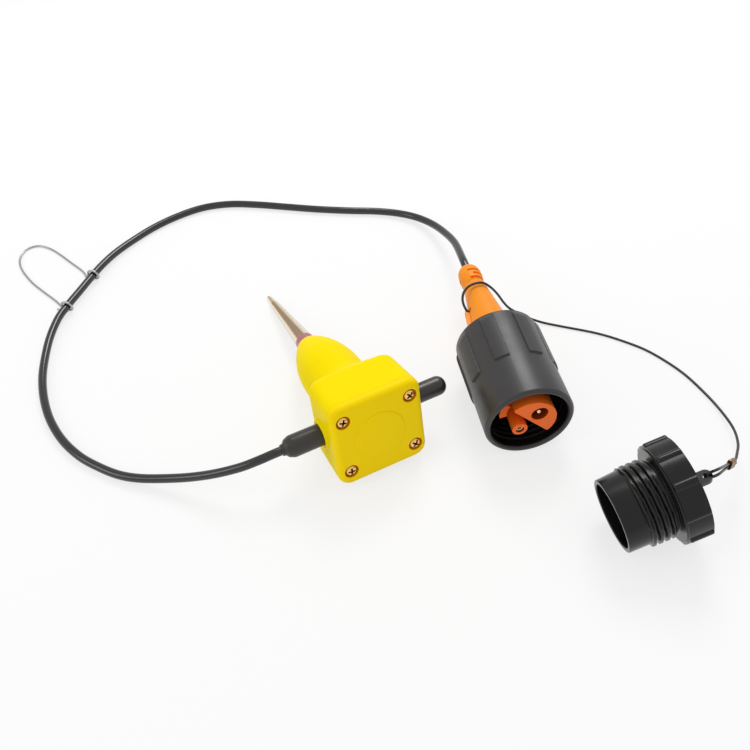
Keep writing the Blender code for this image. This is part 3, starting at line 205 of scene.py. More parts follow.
# %% Lead
GLAND_POSITION = 0.0152
GLAND_END = 0.0415
CLIP_WIRE_RADIUS = 0.00065
CLIP_RING_RADIUS = LEAD_RADIUS + GAP + CLIP_WIRE_RADIUS
CLIP_HEIGHT = CLIP_RING_RADIUS + CLIP_WIRE_RADIUS + 0.0001
CLIP_RINGS = ((-0.0999, 0.1136), (-0.0813, 0.1312))
LEAD_ROUTE = [
    (-0.0520, -0.0495, 0.0216), (-0.0600, -0.0465, 0.0182), (-0.0703, -0.0406, 0.0134),
    (-0.0803, -0.0336, 0.0090), (-0.0904, -0.0262, 0.0058), (-0.1004, -0.0187, 0.0036),
    (-0.1083, -0.0112, 0.0025), (-0.1152, -0.0020, 0.0022), (-0.1214, 0.0085, 0.0022),
    (-0.1261, 0.0219, 0.0022), (-0.1283, 0.0371, 0.0022), (-0.1278, 0.0524, 0.0022),
    (-0.1251, 0.0675, 0.0022), (-0.1203, 0.0818, 0.0023), (-0.1143, 0.0948, 0.0030),
    (-0.1069, 0.1062, 0.0037), (*CLIP_RINGS[0], CLIP_HEIGHT), (-0.0906, 0.1224, CLIP_HEIGHT),
    (*CLIP_RINGS[1], CLIP_HEIGHT), (-0.0734, 0.1382, 0.0037), (-0.0636, 0.1459, 0.0029),
    (-0.0507, 0.1529, 0.0023), (-0.0351, 0.1588, 0.0022),
    (-0.0188, 0.1619, 0.0022), (-0.0033, 0.1619, 0.0022), (0.0117, 0.1572, 0.0022),
    (0.0260, 0.1483, 0.0022), (0.0409, 0.1371, 0.0022), (0.0562, 0.1256, 0.0022),
    (0.0724, 0.1146, 0.0022), (0.0862, 0.1058, 0.0023), (0.0966, 0.0968, 0.0027),
    (0.1034, 0.0868, 0.0037), (0.1066, 0.0740, 0.0062), (0.1062, 0.0590, 0.0102),
    (0.1032, 0.0430, 0.0150),
]
BODY_LENGTH = 0.0924
RELIEF_LENGTH = 0.0136
RELIEF_END = BODY_LENGTH + GAP + RELIEF_LENGTH

gland_end = GEOPHONE @ Vector((-GLAND_END - GAP, 0, GLAND_POSITION))
lead_end = CONNECTOR @ Vector((0, 0, RELIEF_END + GAP))
lead_run = CONNECTOR @ Vector((0, 0, RELIEF_END + 0.008))
lead_points = smooth_run([gland_end, gland_end + Vector((-0.004, 0, 0)), *LEAD_ROUTE, lead_run,
                          lead_end], LEAD_RADIUS * 0.8)
lead = wire("lead", lead_points, LEAD_RADIUS, 5)

# %% [markdown]
# The lanyard starts at the connector's lug, crosses over its neck and lies on the ground. At the
# dust cap it turns back through the eye and ends in the ferrule.

# %% Lanyard
LUG_PLACE = 0.0735
LUG_RADIUS = 0.0023
LUG_REACH = 0.0100
LANYARD_TURN = 0.0021
FERRULE_PLACE = Vector((0.1284, -0.1465, 0.016))
FERRULE_LENGTH = 0.0050
FERRULE_STRAND_GAP = 0.0017
LANYARD_ROUTE = [
    (0.1017, -0.0095, 0.0125), (0.1048, -0.0114, 0.0085), (0.1110, -0.0152, 0.0038),
    (0.1175, -0.0210, 0.0013), (0.1250, -0.0283, 0.0008), (0.1381, -0.0417, 0.0008),
    (0.1465, -0.0532, 0.0008), (0.1534, -0.0661, 0.0008), (0.1580, -0.0840, 0.0008),
    (0.1585, -0.1005, 0.0009), (0.1567, -0.1140, 0.0018), (0.1522, -0.1261, 0.0045),
    (0.1450, -0.1355, 0.0085), (0.1375, -0.1417, 0.0122),
]

lug = CONNECTOR @ Vector((-LUG_REACH + LUG_RADIUS, -0.0002, LUG_PLACE))
over_neck = [CONNECTOR @ Vector(point) for point in (
    (-0.0091, -0.0018, 0.0746), (-0.0099, -0.0035, 0.0774), (-0.0096, -0.0052, 0.0804),
    (-0.0076, -0.0065, 0.0837), (-0.0037, -0.0076, 0.0860), (0.0017, -0.0076, 0.0865),
    (0.0060, -0.0045, 0.0863), (0.0103, 0.0010, 0.0860))]
eye = DUST @ Vector((0, 0, EYE_PLACE))
eye_up = (DUST.to_3x3() @ Vector((0, -1, 0))).normalized()
eye_out = dust_axis.normalized()
ferrule_axis = (FERRULE_PLACE - (eye + eye_out * LANYARD_TURN)).normalized()
ferrule_side = (eye_up - ferrule_axis * eye_up.dot(ferrule_axis)).normalized()
strand = ferrule_side * (FERRULE_STRAND_GAP / 2)
before_ferrule = ferrule_axis * (FERRULE_LENGTH / 2 + 0.001)
tail = ferrule_axis * (FERRULE_LENGTH / 2 + 0.0035)
eye_turn = []
for step in range(9):
    angle = math.pi * step / 8
    eye_turn.append(eye + eye_out * LANYARD_TURN * (1 - math.sin(angle))
                    + eye_up * LANYARD_TURN * math.cos(angle))
strand_start = eye_out * 0.004
lanyard_points = smooth_run(
    [lug, *over_neck, *LANYARD_ROUTE, FERRULE_PLACE + strand + before_ferrule,
     FERRULE_PLACE + strand - before_ferrule, eye_turn[0] + strand_start, *eye_turn,
     eye_turn[-1] + strand_start, FERRULE_PLACE - strand - before_ferrule,
     FERRULE_PLACE - strand + tail], LANYARD_RADIUS)
lanyard = wire("tether", lanyard_points, LANYARD_RADIUS, 3)

# %% [markdown]
# Most pieces of this product are turned or moulded round an axis, with small radii on every
# edge. A sharp edge catches no light, so the radii matter more than anything else. They could
# come from a Bevel modifier, but here each profile is a list of corners with a radius of their
# own, which gives every edge exactly the radius that the moulding has.

# %% Profiles with rounded corners
FILLET_STEPS = 4
ROUND_STEPS = 96
SHARP_ANGLE = 35.0


def rounded(corners, closed=False):
    """The points of a path whose corners, given as (across, along, radius), are rounded off."""
    path = []
    last = len(corners) - 1
    for index, (across, along, radius) in enumerate(corners):
        here = Vector((across, along))
        if radius == 0 or (not closed and index in (0, last)):
            path.append((across, along))
            continue
        before = Vector(corners[index - 1][:2]) - here
        after = Vector(corners[(index + 1) % len(corners)][:2]) - here
        half = before.angle(after) / 2
        reach = min(radius / math.tan(half), before.length * 0.49, after.length * 0.49)
        start = before.normalized() * reach
        end = after.normalized() * reach
        centre = (start + end).normalized() * (reach / math.cos(half))
        sweep = (start - centre).angle(end - centre)
        for step in range(FILLET_STEPS + 1):
            t = step / FILLET_STEPS
            point = here + centre
            point += (start - centre) * (math.sin((1 - t) * sweep) / math.sin(sweep))
            point += (end - centre) * (math.sin(t * sweep) / math.sin(sweep))
            path.append((point.x, point.y))
    return path


def ring_angles(count):
    """Evenly spaced angles round a full turn."""
    return [2 * math.pi * step / count for step in range(count)]


def finish_mesh(name, solid, place, body, sharp=SHARP_ANGLE):
    """Turn a bmesh into a named piece that rides on a body, smooth apart from its sharp edges."""
    bmesh.ops.recalc_face_normals(solid, faces=solid.faces)
    mesh = bpy.data.meshes.new(name)
    solid.to_mesh(mesh)
    solid.free()
    mesh.shade_smooth()
    mesh.set_sharp_from_angle(angle=math.radians(sharp))
    thing = bpy.data.objects.new(name, mesh)
    thing.matrix_world = place
    bpy.context.scene.collection.objects.link(thing)
    if body:
        bpy.context.view_layer.update()
        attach(thing, body)
    return thing


def skin(name, rows, place, body, sharp=SHARP_ANGLE):
    """A closed solid over rings of points. A ring of one point closes an end to a tip."""
    solid = bmesh.new()
    rings = [[solid.verts.new(point) for point in row] for row in rows]
    pairs = list(zip(rings, rings[1:]))
    if len(rings[0]) > 1:
        pairs.append((rings[-1], rings[0]))
    count = max(len(ring) for ring in rings)
    for first, second in pairs:
        for step in range(count):
            follow = (step + 1) % count
            corners = [first[0]] if len(first) == 1 else [first[step], first[follow]]
            corners += [second[0]] if len(second) == 1 else [second[follow], second[step]]
            if len(corners) > 2:
                solid.faces.new(corners)
    return finish_mesh(name, solid, place, body, sharp)


def stack(name, rows, place, body=None):
    """A closed solid over outlines with as many points each, flat at both ends."""
    solid = bmesh.new()
    rings = [[solid.verts.new(point) for point in row] for row in rows]
    solid.faces.new(rings[0][::-1])
    solid.faces.new(rings[-1])
    for lower, upper in zip(rings, rings[1:]):
        for index in range(len(lower)):
            follow = (index + 1) % len(lower)
            solid.faces.new((lower[index], lower[follow], upper[follow], upper[index]))
    return finish_mesh(name, solid, place, body)


def lathe(name, path, place, body, angles=None, reshape=None, sharp=SHARP_ANGLE):
    """A closed solid of revolution. reshape(radius, along, angle) may change any point's radius."""
    rows = []
    for radius, along in path:
        if radius < 1e-7:
            rows.append([(0.0, 0.0, along)])
            continue
        row = []
        for angle in angles or ring_angles(ROUND_STEPS):
            reach = reshape(radius, along, angle) if reshape else radius
            row.append((reach * math.cos(angle), reach * math.sin(angle), along))
        rows.append(row)
    return skin(name, rows, place, body, sharp)


unit_square = [(0, 0, 0.1), (1, 0, 0.1), (1, 1, 0.1), (0, 1, 0.1)]
print("a rounded square has", len(rounded(unit_square, True)), "points")

# %% [markdown]
# Some pieces need a cut or a joined form that no single profile gives, such as the disc on the
# cap or the cross in a screw's head. A Boolean does that, and it is applied at once, so that
# later steps see a plain mesh. Weighted normals then keep the large flat faces flat in shading.

# %% Booleans
def combine(thing, tools, operation="DIFFERENCE"):
    """Cut the tools from thing, or join them to it, and apply the result."""
    for tool in tools:
        step = thing.modifiers.new(tool.name, "BOOLEAN")
        step.operation = operation
        step.solver = "EXACT"
        step.object = tool
    bpy.context.view_layer.update()
    seen = thing.evaluated_get(bpy.context.evaluated_depsgraph_get())
    mesh = bpy.data.meshes.new_from_object(seen)
    thing.modifiers.clear()
    thing.data = mesh
    for tool in tools:
        bpy.data.objects.remove(tool, do_unlink=True)


def settle(thing):
    """Weld, shade and weight the normals of a piece after its Booleans."""
    solid = bmesh.new()
    solid.from_mesh(thing.data)
    bmesh.ops.remove_doubles(solid, verts=solid.verts, dist=0.000002)
    bmesh.ops.dissolve_degenerate(solid, edges=solid.edges, dist=0.000001)
    solid.to_mesh(thing.data)
    solid.free()
    thing.data.shade_smooth()
    thing.data.set_sharp_from_angle(angle=math.radians(SHARP_ANGLE))
    weighted = thing.modifiers.new("weighted", "WEIGHTED_NORMAL")
    weighted.keep_sharp = True
    weighted.weight = 80


def slab(name, outline, low, high, place, edge=0.0):
    """A flat-faced solid with an outline of (x, y) points between two heights.

    edge rounds the rim of its lower face, by drawing that rim inwards in steps.
    """
    levels = [(low, edge)]
    if edge:
        for step in range(1, FILLET_STEPS + 1):
            turn = math.pi / 2 * step / FILLET_STEPS
            levels.append((low + edge * (1 - math.cos(turn)), edge * (1 - math.sin(turn))))
    levels.append((high, 0.0))
    count = len(outline)
    rows = []
    for level, inset in levels:
        row = []
        for index, (x, y) in enumerate(outline):
            run = Vector(outline[(index + 1) % count]) - Vector(outline[index - 1])
            normal = Vector((-run.y, run.x)).normalized() if run.length else Vector((0, 0))
            row.append((x + normal.x * inset, y + normal.y * inset, level))
        rows.append(row)
    return stack(name, rows, place)


def moved(x=0.0, y=0.0, z=0.0):
    """A short name for a translation."""
    return Matrix.Translation((x, y, z))


# %% [markdown]
# The case is one moulding: a square box that carries the cap, and a round neck that ends in a
# bullet-shaped nose. The two could be joined by a union, which leaves a line where they meet.
# Here one skin runs over both. At every angle its profile goes along the box's side and down a
# smooth slope on to the neck. The box has the slight taper that lets it out of its mould.

# %% Case
BOX_SIDE = 0.044
BOX_CORNER = 0.006
BOX_TAPER = 0.965
SHOULDER = 0.0238
SHOULDER_RUN = 0.0142
CAP_THICKNESS = 0.004
SEAM = 0.00008
BODY_FRONT = CAP_THICKNESS + SEAM
NECK_RADIUS = 0.015
NOSE_START = 0.049
CASE_LENGTH = 0.081
NOSE_END_RADIUS = 0.0056
CAVITY_RADIUS = 0.0166
CAVITY_DEPTH = 0.021
ELEMENT_END = CAVITY_DEPTH + GAP + 0.033
ELEMENT_BORE = 0.013
SHANK_BORE = 0.0043
SHANK_START = 0.0635
SCREW_HOLE = 0.0016
SCREW_HOLE_END = 0.0128
SCREW_PLACES = [(side * 0.01615, level * 0.0141) for level in (-1, 1) for side in (-1, 1)]
GLAND_RADIUS = 0.0052
PLUG_RADIUS = 0.0046
SIDE_BOSS_RADIUS = 0.0069
SIDE_BOSS_HEIGHT = 0.0006
BOSS_ROOT = 0.003
SIDE_FIT = 0.0001
CORNER_STEPS = 10
SIDE_STEPS = 16
BOX_STEPS = 5
SHOULDER_STEPS = 22
NOSE_STEPS = 24


def square_outline(side, corner):
    """The outline of a square with rounded corners, anticlockwise."""
    half = side / 2
    points = []
    for turn in range(4):
        centre_angle = math.pi / 4 + turn * math.pi / 2
        centre = Vector((math.copysign(half - corner, math.cos(centre_angle)),
                         math.copysign(half - corner, math.sin(centre_angle))))
        for step in range(CORNER_STEPS + 1):
            angle = turn * math.pi / 2 + math.pi / 2 * step / CORNER_STEPS
            points.append((centre.x + corner * math.cos(angle),
                           centre.y + corner * math.sin(angle)))
    return points


def box_angles():
    """Angles round the case, closer together at the box's corners."""
    edge = math.atan2(BOX_SIDE / 2 - BOX_CORNER, BOX_SIDE / 2)
    shares = [edge * (2 * step / SIDE_STEPS - 1) for step in range(SIDE_STEPS)]
    shares += [edge + (math.pi / 2 - 2 * edge) * step / CORNER_STEPS for step in range(CORNER_STEPS)]
    return [turn * math.pi / 2 + share for turn in range(4) for share in shares]


def box_reach(angle):
    """How far the box's rounded square reaches from its axis at an angle."""
    wide, narrow = sorted((abs(math.cos(angle)), abs(math.sin(angle))), reverse=True)
    flat = BOX_SIDE / 2 - BOX_CORNER
    if narrow * BOX_SIDE / 2 <= flat * wide:
        return BOX_SIDE / 2 / wide
    lean = (wide + narrow) * flat
    return lean + math.sqrt(lean ** 2 - 2 * flat ** 2 + BOX_CORNER ** 2)


def case_levels():
    """Each ring's place along the axis, its taper, and its share of the box's reach."""
    levels = [(BODY_FRONT, 1.0, 1.0)]
    for step in range(1, BOX_STEPS):
        share = step / BOX_STEPS
        levels.append((BODY_FRONT + (SHOULDER - BODY_FRONT) * share, 1 - (1 - BOX_TAPER) * share, 1.0))
    for step in range(SHOULDER_STEPS + 1):
        share = step / SHOULDER_STEPS
        levels.append((SHOULDER + SHOULDER_RUN * share, BOX_TAPER, 1 - share * share * (3 - 2 * share)))
    return levels


def case_rings():
    """The case's rings of points, from the box's front to the end of the nose."""
    angles = box_angles()
    rings = [[(0.0, 0.0, BODY_FRONT)]]
    for along, taper, share in case_levels():
        reaches = [NECK_RADIUS + (box_reach(angle) * taper - NECK_RADIUS) * share for angle in angles]
        rings.append([(reach * math.cos(angle), reach * math.sin(angle), along)
                      for reach, angle in zip(reaches, angles)])
    run = CASE_LENGTH - NOSE_START
    drop = NECK_RADIUS - NOSE_END_RADIUS
    radius = (run ** 2 + drop ** 2) / (2 * drop)
    sweep = math.asin(run / radius)
    nose = []
    for step in range(NOSE_STEPS):
        turn = sweep * step / NOSE_STEPS
        nose.append((NECK_RADIUS - radius + radius * math.cos(turn), NOSE_START + radius * math.sin(turn)))
    nose += [(NOSE_END_RADIUS - 0.0002, CASE_LENGTH - 0.0003), (NOSE_END_RADIUS - 0.0008, CASE_LENGTH)]
    for reach, along in nose:
        rings.append([(reach * math.cos(angle), reach * math.sin(angle), along) for angle in angles])
    return rings + [[(0.0, 0.0, CASE_LENGTH)]]


def cylinder_tool(name, radius, low, high, place, count):
    """A plain round cutter or a round form to join."""
    return lathe(name, [(0.0, high), (radius, high), (radius, low), (0.0, low)], place, None,
                 ring_angles(count))


across = Matrix.Rotation(math.pi / 2, 4, "Y")
gland_line = GEOPHONE @ moved(z=GLAND_POSITION) @ across
case = skin("case", case_rings(), GEOPHONE, "geophone")
boss_face = BOX_SIDE / 2 + SIDE_BOSS_HEIGHT
boss_foot = BOX_SIDE / 2 - BOSS_ROOT
boss_path = rounded([(0.0, boss_face, 0), (SIDE_BOSS_RADIUS, boss_face, 0.0004),
                     (SIDE_BOSS_RADIUS + 0.0003, boss_foot, 0), (0.0, boss_foot, 0)])
bosses = [lathe(f"boss_{side}", boss_path, gland_line @ Matrix.Rotation(turn, 4, "Y"), None,
                ring_angles(64)) for side, turn in ((1, 0.0), (2, math.pi))]
combine(case, bosses, "UNION")
hollow = lathe("hollow_tool", [
    (0.0, ELEMENT_END + GAP), (ELEMENT_BORE, ELEMENT_END + GAP), (ELEMENT_BORE, CAVITY_DEPTH),
    (CAVITY_RADIUS, CAVITY_DEPTH), (CAVITY_RADIUS, 0.0), (0.0, 0.0)], GEOPHONE, None, ring_angles(64))
passage_end = BOX_SIDE / 2 + BOSS_ROOT
case_tools = [
    hollow,
    cylinder_tool("gland_passage", GLAND_RADIUS + SIDE_FIT, -passage_end, 0.0, gland_line, 48),
    cylinder_tool("plug_passage", PLUG_RADIUS + SIDE_FIT, 0.0, passage_end, gland_line, 48),
    cylinder_tool("shank_tool", SHANK_BORE, SHANK_START - GAP, CASE_LENGTH + 0.002, GEOPHONE, 48)]
for number, (x, y) in enumerate(SCREW_PLACES):
    place = GEOPHONE @ moved(x, y)
    case_tools.append(cylinder_tool(f"hole_{number}", SCREW_HOLE, 0.0, SCREW_HOLE_END, place, 24))
combine(case, case_tools)
settle(case)
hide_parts("case_body")
print("case faces:", len(case.data.polygons))

# %% [markdown]
# The cap is a square plate with rounded front edges, a faint raised disc and a well for each
# screw. The wells widen at the top through a small radius, which is what catches the light
# round each screw head.

# %% Cap
CAP_EDGE = 0.0030
DISC_RADIUS = 0.0118
WELL_RADIUS = 0.0033
WELL_DEPTH = 0.0019
WELL_FLARE = 0.0004
EDGE_STEPS = 9

cap_levels = []
for step in range(EDGE_STEPS, -1, -1):
    turn = math.pi / 2 * step / EDGE_STEPS
    cap_levels.append((CAP_EDGE * (1 - math.sin(turn)), CAP_EDGE * (1 - math.cos(turn))))
cap_levels.append((CAP_THICKNESS, 0.0))
cap_rows = []
for level, inset in cap_levels:
    outline = square_outline(BOX_SIDE - 2 * inset, BOX_CORNER - inset * 0.8)
    cap_rows.append([(x, y, level) for x, y in outline])
cap = stack("cap_plate", cap_rows, GEOPHONE, "geophone")
disc_path = rounded([(0.0, 0.001, 0), (DISC_RADIUS + 0.0004, 0.001, 0),
                     (DISC_RADIUS, -DISC_HEIGHT, 0.0004), (0.0, -DISC_HEIGHT, 0)])
combine(cap, [lathe("disc_tool", disc_path, GEOPHONE, None)], "UNION")
well_tools = []
for number, (x, y) in enumerate(SCREW_PLACES):
    flare = [(0.0, CAP_THICKNESS + 0.001), (SCREW_HOLE, CAP_THICKNESS + 0.001), (SCREW_HOLE, WELL_DEPTH),
             (WELL_RADIUS, WELL_DEPTH), (WELL_RADIUS, WELL_FLARE)]
    for step in range(1, 6):
        angle = math.pi / 2 * step / 5
        flare.append((WELL_RADIUS + WELL_FLARE * (1 - math.cos(angle)), WELL_FLARE * (1 - math.sin(angle))))
    flare += [(WELL_RADIUS + WELL_FLARE, -0.002), (0.0, -0.002)]
    well_tools.append(lathe(f"well_{number}", flare, GEOPHONE @ moved(x, y), None, ring_angles(48)))
combine(cap, well_tools)
settle(cap)
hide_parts("case_cap")
print("cap faces:", len(cap.data.polygons))

# %% [markdown]
# Each screw is a turned pan head with a cross recess. The recess tapers inwards like the driver
# that fits it, so its walls show in a slanted view. The four screws stand at different angles,
# as hand-driven screws do.

# %% Screws
SCREW_HEAD_RADIUS = 0.0026
SCREW_SEAT = WELL_DEPTH - GAP
SCREW_TOP = SCREW_SEAT - 0.0017
SCREW_SHANK_RADIUS = 0.0013
SCREW_LENGTH = 0.0125
SCREW_RIM = SCREW_SEAT - 0.0006
CROSS_HALF_SPAN = 0.0018
CROSS_HALF_WIDTH = 0.00045
CROSS_DEPTH = 0.0014
SCREW_TURNS = (20, 52, 5, 38)


def cross_tool(name, place):
    """A tapered cross, wide at the head's face and narrow at its bottom."""
    rows = []
    for level, grow in ((SCREW_TOP - 0.0004, 1.25), (SCREW_TOP + CROSS_DEPTH, 0.45)):
        span = CROSS_HALF_SPAN * grow
        half = CROSS_HALF_WIDTH * (0.6 + 0.4 * grow)
        corners = [(span, half), (half, half), (half, span), (-half, span), (-half, half),
                   (-span, half), (-span, -half), (-half, -half), (-half, -span),
                   (half, -span), (half, -half), (span, -half)]
        rows.append([(x, y, level) for x, y in corners])
    return stack(name, rows, place)


screws = []
for number, ((x, y), turn) in enumerate(zip(SCREW_PLACES, SCREW_TURNS), 1):
    place = GEOPHONE @ moved(x, y) @ Matrix.Rotation(math.radians(turn), 4, "Z")
    head = [(0.0, SCREW_LENGTH), (SCREW_SHANK_RADIUS * 0.4, SCREW_LENGTH),
            (SCREW_SHANK_RADIUS, SCREW_LENGTH - 0.0015), (SCREW_SHANK_RADIUS, SCREW_SEAT),
            (SCREW_HEAD_RADIUS - 0.0001, SCREW_SEAT), (SCREW_HEAD_RADIUS, SCREW_SEAT - 0.0001),
            (SCREW_HEAD_RADIUS, SCREW_RIM)]
    for step in range(1, 9):
        angle = math.pi / 2 * step / 8
        head.append((SCREW_HEAD_RADIUS * math.cos(angle) ** 0.8 if step < 8 else 0.0,
                     SCREW_RIM - (SCREW_RIM - SCREW_TOP) * math.sin(angle)))
    screw = lathe(f"screw_{number}", head, place, "geophone", ring_angles(48))
    combine(screw, [cross_tool(f"cross_{number}", place)])
    settle(screw)
    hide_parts(f"cap_screw_{number}")
    screws.append(screw)
print("screws:", len(screws))

# %% [markdown]
# The spike is turned from steel bar: a short land where the spanner or the collet held it, a
# long cone, and a shorter cone as its point. Only a profile is needed. Its tool marks are left
# to the material, because they are finer than any mesh should be.

# %% Spike
SPIKE_BASE = CASE_LENGTH + GAP
SPIKE_RADIUS = 0.005
SPIKE_LAND = 0.0042
SPIKE_LENGTH = 0.0557
SPIKE_STEP = 0.0468
SPIKE_STEP_RADIUS = 0.0022
SPIKE_POINT_RADIUS = 0.0019
SPIKE_TIP = SPIKE_BASE + SPIKE_LENGTH
SHANK_RADIUS = SHANK_BORE - GAP

spike_path = rounded([
    (0.0, SPIKE_TIP, 0), (0.0006, SPIKE_TIP, 0.0003), (0.0012, SPIKE_TIP - 0.0010, 0.0003),
    (SPIKE_POINT_RADIUS, SPIKE_BASE + SPIKE_STEP + 0.0004, 0.0002),
    (SPIKE_STEP_RADIUS, SPIKE_BASE + SPIKE_STEP, 0.0001),
    (SPIKE_RADIUS - 0.0004, SPIKE_BASE + SPIKE_LAND + 0.0003, 0.0002),
    (SPIKE_RADIUS, SPIKE_BASE + SPIKE_LAND - 0.0001, 0.0002), (SPIKE_RADIUS, SPIKE_BASE, 0.0002),
    (SHANK_RADIUS, SPIKE_BASE, 0), (SHANK_RADIUS, SHANK_START + 0.0008, 0),
    (SHANK_RADIUS - 0.0008, SHANK_START, 0), (0.0, SHANK_START, 0)])
spike = lathe("ground_spike", spike_path, GEOPHONE, "geophone")
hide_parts("spike")
print("spike tip height in mm:", round((GEOPHONE @ Vector((0, 0, SPIKE_TIP))).z * 1000, 2))

# %% [markdown]
# A gland on the left side lets the lead out, and a plug of the same rubber closes the right
# side, where a second lead would leave. Both are sleeves that were pushed through from inside
# and kept by a flange. The gland narrows to the lead through a rounded shoulder and a short
# nozzle, and the plug ends in a dome with a slightly flattened end.

# %% Gland and plug
GLAND_NOZZLE = 0.0026
PLUG_END = 0.0412
GLAND_FLANGE = 0.0062
GLAND_FLANGE_PLACE = math.sqrt((CAVITY_RADIUS - 2 * GAP) ** 2 - GLAND_FLANGE ** 2)
PLUG_DOME = 0.0042
gland_step = GLAND_FLANGE_PLACE - 0.0015
flange_corners = [(GLAND_RADIUS - 0.0001, GLAND_FLANGE_PLACE, 0), (GLAND_FLANGE, GLAND_FLANGE_PLACE, 0),
                  (GLAND_FLANGE, gland_step, 0), (0.0, gland_step, 0)]
gland_path = rounded([
    (0.0, GLAND_END, 0), (GLAND_NOZZLE, GLAND_END, 0.0003),
    (GLAND_NOZZLE + 0.0002, GLAND_END - 0.0014, 0.0009),
    (GLAND_RADIUS - 0.0011, GLAND_END - 0.0024, 0.0014), (GLAND_RADIUS, GLAND_END - 0.0050, 0.0028),
    *flange_corners])
plug_path = [(0.0, PLUG_END)]
for step in range(1, 13):
    angle = math.pi / 2 * (1 - step / 12)
    plug_path.append((PLUG_RADIUS * math.cos(angle) ** 0.85, PLUG_END - PLUG_DOME * (1 - math.sin(angle))))
plug_path += [(PLUG_RADIUS, GLAND_FLANGE_PLACE), (GLAND_FLANGE, GLAND_FLANGE_PLACE),
              (GLAND_FLANGE, gland_step), (0.0, gland_step)]
gland_place = GEOPHONE @ moved(z=GLAND_POSITION) @ Matrix.Rotation(-math.pi / 2, 4, "Y")
gland = lathe("lead_sleeve", gland_path, gland_place, "geophone", ring_angles(72))
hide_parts("lead_gland")
plug = lathe("side_plug", plug_path, gland_line, "geophone", ring_angles(72))
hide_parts("blind_plug")
print("gland end:", [round(value * 1000, 1) for value in gland_place @ Vector((0, 0, GLAND_END))])

# %% [markdown]
# The coupling collar is a smooth barrel whose rear half carries eight grip ribs with square
# front ends. Ribs could be separate blocks joined by Booleans. Instead the barrel's own mesh
# is given angles that crowd together at the rib's flanks, and the radius is raised between
# them, which keeps clean edge loops and lets each flank have its own small bevel.

# %% Coupling collar
COLLAR_FRONT = -0.0010
COLLAR_LENGTH = 0.0535
COLLAR_RADIUS = 0.0208
COLLAR_REAR_RADIUS = 0.0203
COLLAR_MOUTH = 0.0180
COLLAR_SHOULDER = 0.0263
COLLAR_BORE = 0.015
RING_STEP_BORE = 0.0166
RING_STEP = 0.0512
RIB_COUNT = 8
RIB_RADIUS = 0.0214
RIB_HALF = math.radians(9.2)
RIB_FLANK = math.radians(0.9)
RIB_START = 0.023
RIB_END = 0.0510
RIB_TAIL = 0.0045
RIB_ROW_START = 0.0455
RIB_ROW_STEP = 0.0015
RIB_FIRST = -math.radians(20)
THREAD_DEPTH = 0.0005
THREAD_PITCH = 0.003
THREAD_FADE = 0.0012
MOUTH_THREAD = (0.0035, 0.0185)


def rib_angles():
    """Angles round the collar, close together at the flanks of every rib."""
    pitch = 2 * math.pi / RIB_COUNT
    side = [RIB_HALF + RIB_FLANK, RIB_HALF, RIB_HALF - RIB_FLANK * 0.6, RIB_HALF / 2]
    shares = [-share for share in side] + [0.0] + side[::-1]
    gap = pitch - 2 * (RIB_HALF + RIB_FLANK)
    shares += [RIB_HALF + RIB_FLANK + gap * step / 9 for step in range(1, 9)]
    angles = []
    for rib in range(RIB_COUNT):
        angles += [(RIB_FIRST - rib * pitch + share) % (2 * math.pi) for share in shares]
    return sorted(angles)


def from_nearest(angle, first, count):
    """The angle from the nearest of some evenly spaced places round a full turn."""
    pitch = 2 * math.pi / count
    return (angle - first + pitch / 2) % pitch - pitch / 2


def rib_height(angle):
    """One on a rib, nought between the ribs, and a bevelled flank at either side."""
    offset = from_nearest(angle, RIB_FIRST, RIB_COUNT)
    return max(0.0, min(1.0, (RIB_HALF + RIB_FLANK - abs(offset)) / RIB_FLANK))


def thread_rise(along, angle, start, end):
    """A rounded thread: one on the crest and nought at the root, fading out at both ends."""
    phase = (along / THREAD_PITCH - angle / (2 * math.pi)) % 1.0
    fade = max(0.0, min(1.0, (along - start) / THREAD_FADE, (end - along) / THREAD_FADE))
    return max(0.0, min(1.0, 2.2 - abs(phase - 0.5) * 6.4)) * fade


def collar_shape(radius, along, angle):
    """Ribs on the outer side's rear half and a thread in the mouth."""
    if radius > COLLAR_MOUTH + 0.001 and along > RIB_START:
        ramp = min(1.0, (along - RIB_START) / 0.0004)
        tail = max(0.0, min(1.0, (RIB_END - along) / RIB_TAIL))
        return radius + max(0.0, RIB_RADIUS - radius) * rib_height(angle) * ramp * tail * (2 - tail)
    if abs(radius - COLLAR_MOUTH) < 0.0001:
        return radius - THREAD_DEPTH * thread_rise(along, angle, *MOUTH_THREAD)
    return radius


rib_tail = [(COLLAR_REAR_RADIUS + 0.00002 * step, RIB_END - RIB_TAIL * step / 8, 0) for step in range(9)]
rib_rows = [(COLLAR_REAR_RADIUS + 0.0002, RIB_ROW_START - RIB_ROW_STEP * step, 0) for step in range(14)]
rib_ramp = [(COLLAR_REAR_RADIUS + 0.0003, RIB_START + rise, 0) for rise in (0.0006, 0.0004, 0.0)]
outer_side = rounded([
    (RING_STEP_BORE, COLLAR_LENGTH, 0.0002), (COLLAR_REAR_RADIUS - 0.0022, COLLAR_LENGTH, 0.0008),
    (COLLAR_REAR_RADIUS, COLLAR_LENGTH - 0.0017, 0.0018), *rib_tail, *rib_rows, *rib_ramp,
    (COLLAR_RADIUS - 0.0001, RIB_START - 0.004, 0), (COLLAR_RADIUS, 0.009, 0.002),
    (COLLAR_RADIUS, COLLAR_FRONT + 0.0012, 0.0009), (COLLAR_RADIUS - 0.0010, COLLAR_FRONT, 0.0004),
    (COLLAR_MOUTH + 0.0006, COLLAR_FRONT, 0.0004), (COLLAR_MOUTH, COLLAR_FRONT + 0.0012, 0.0003)])
thread_rows = [(COLLAR_MOUTH, 0.0016 + 0.0003 * step) for step in range(1, 60)]
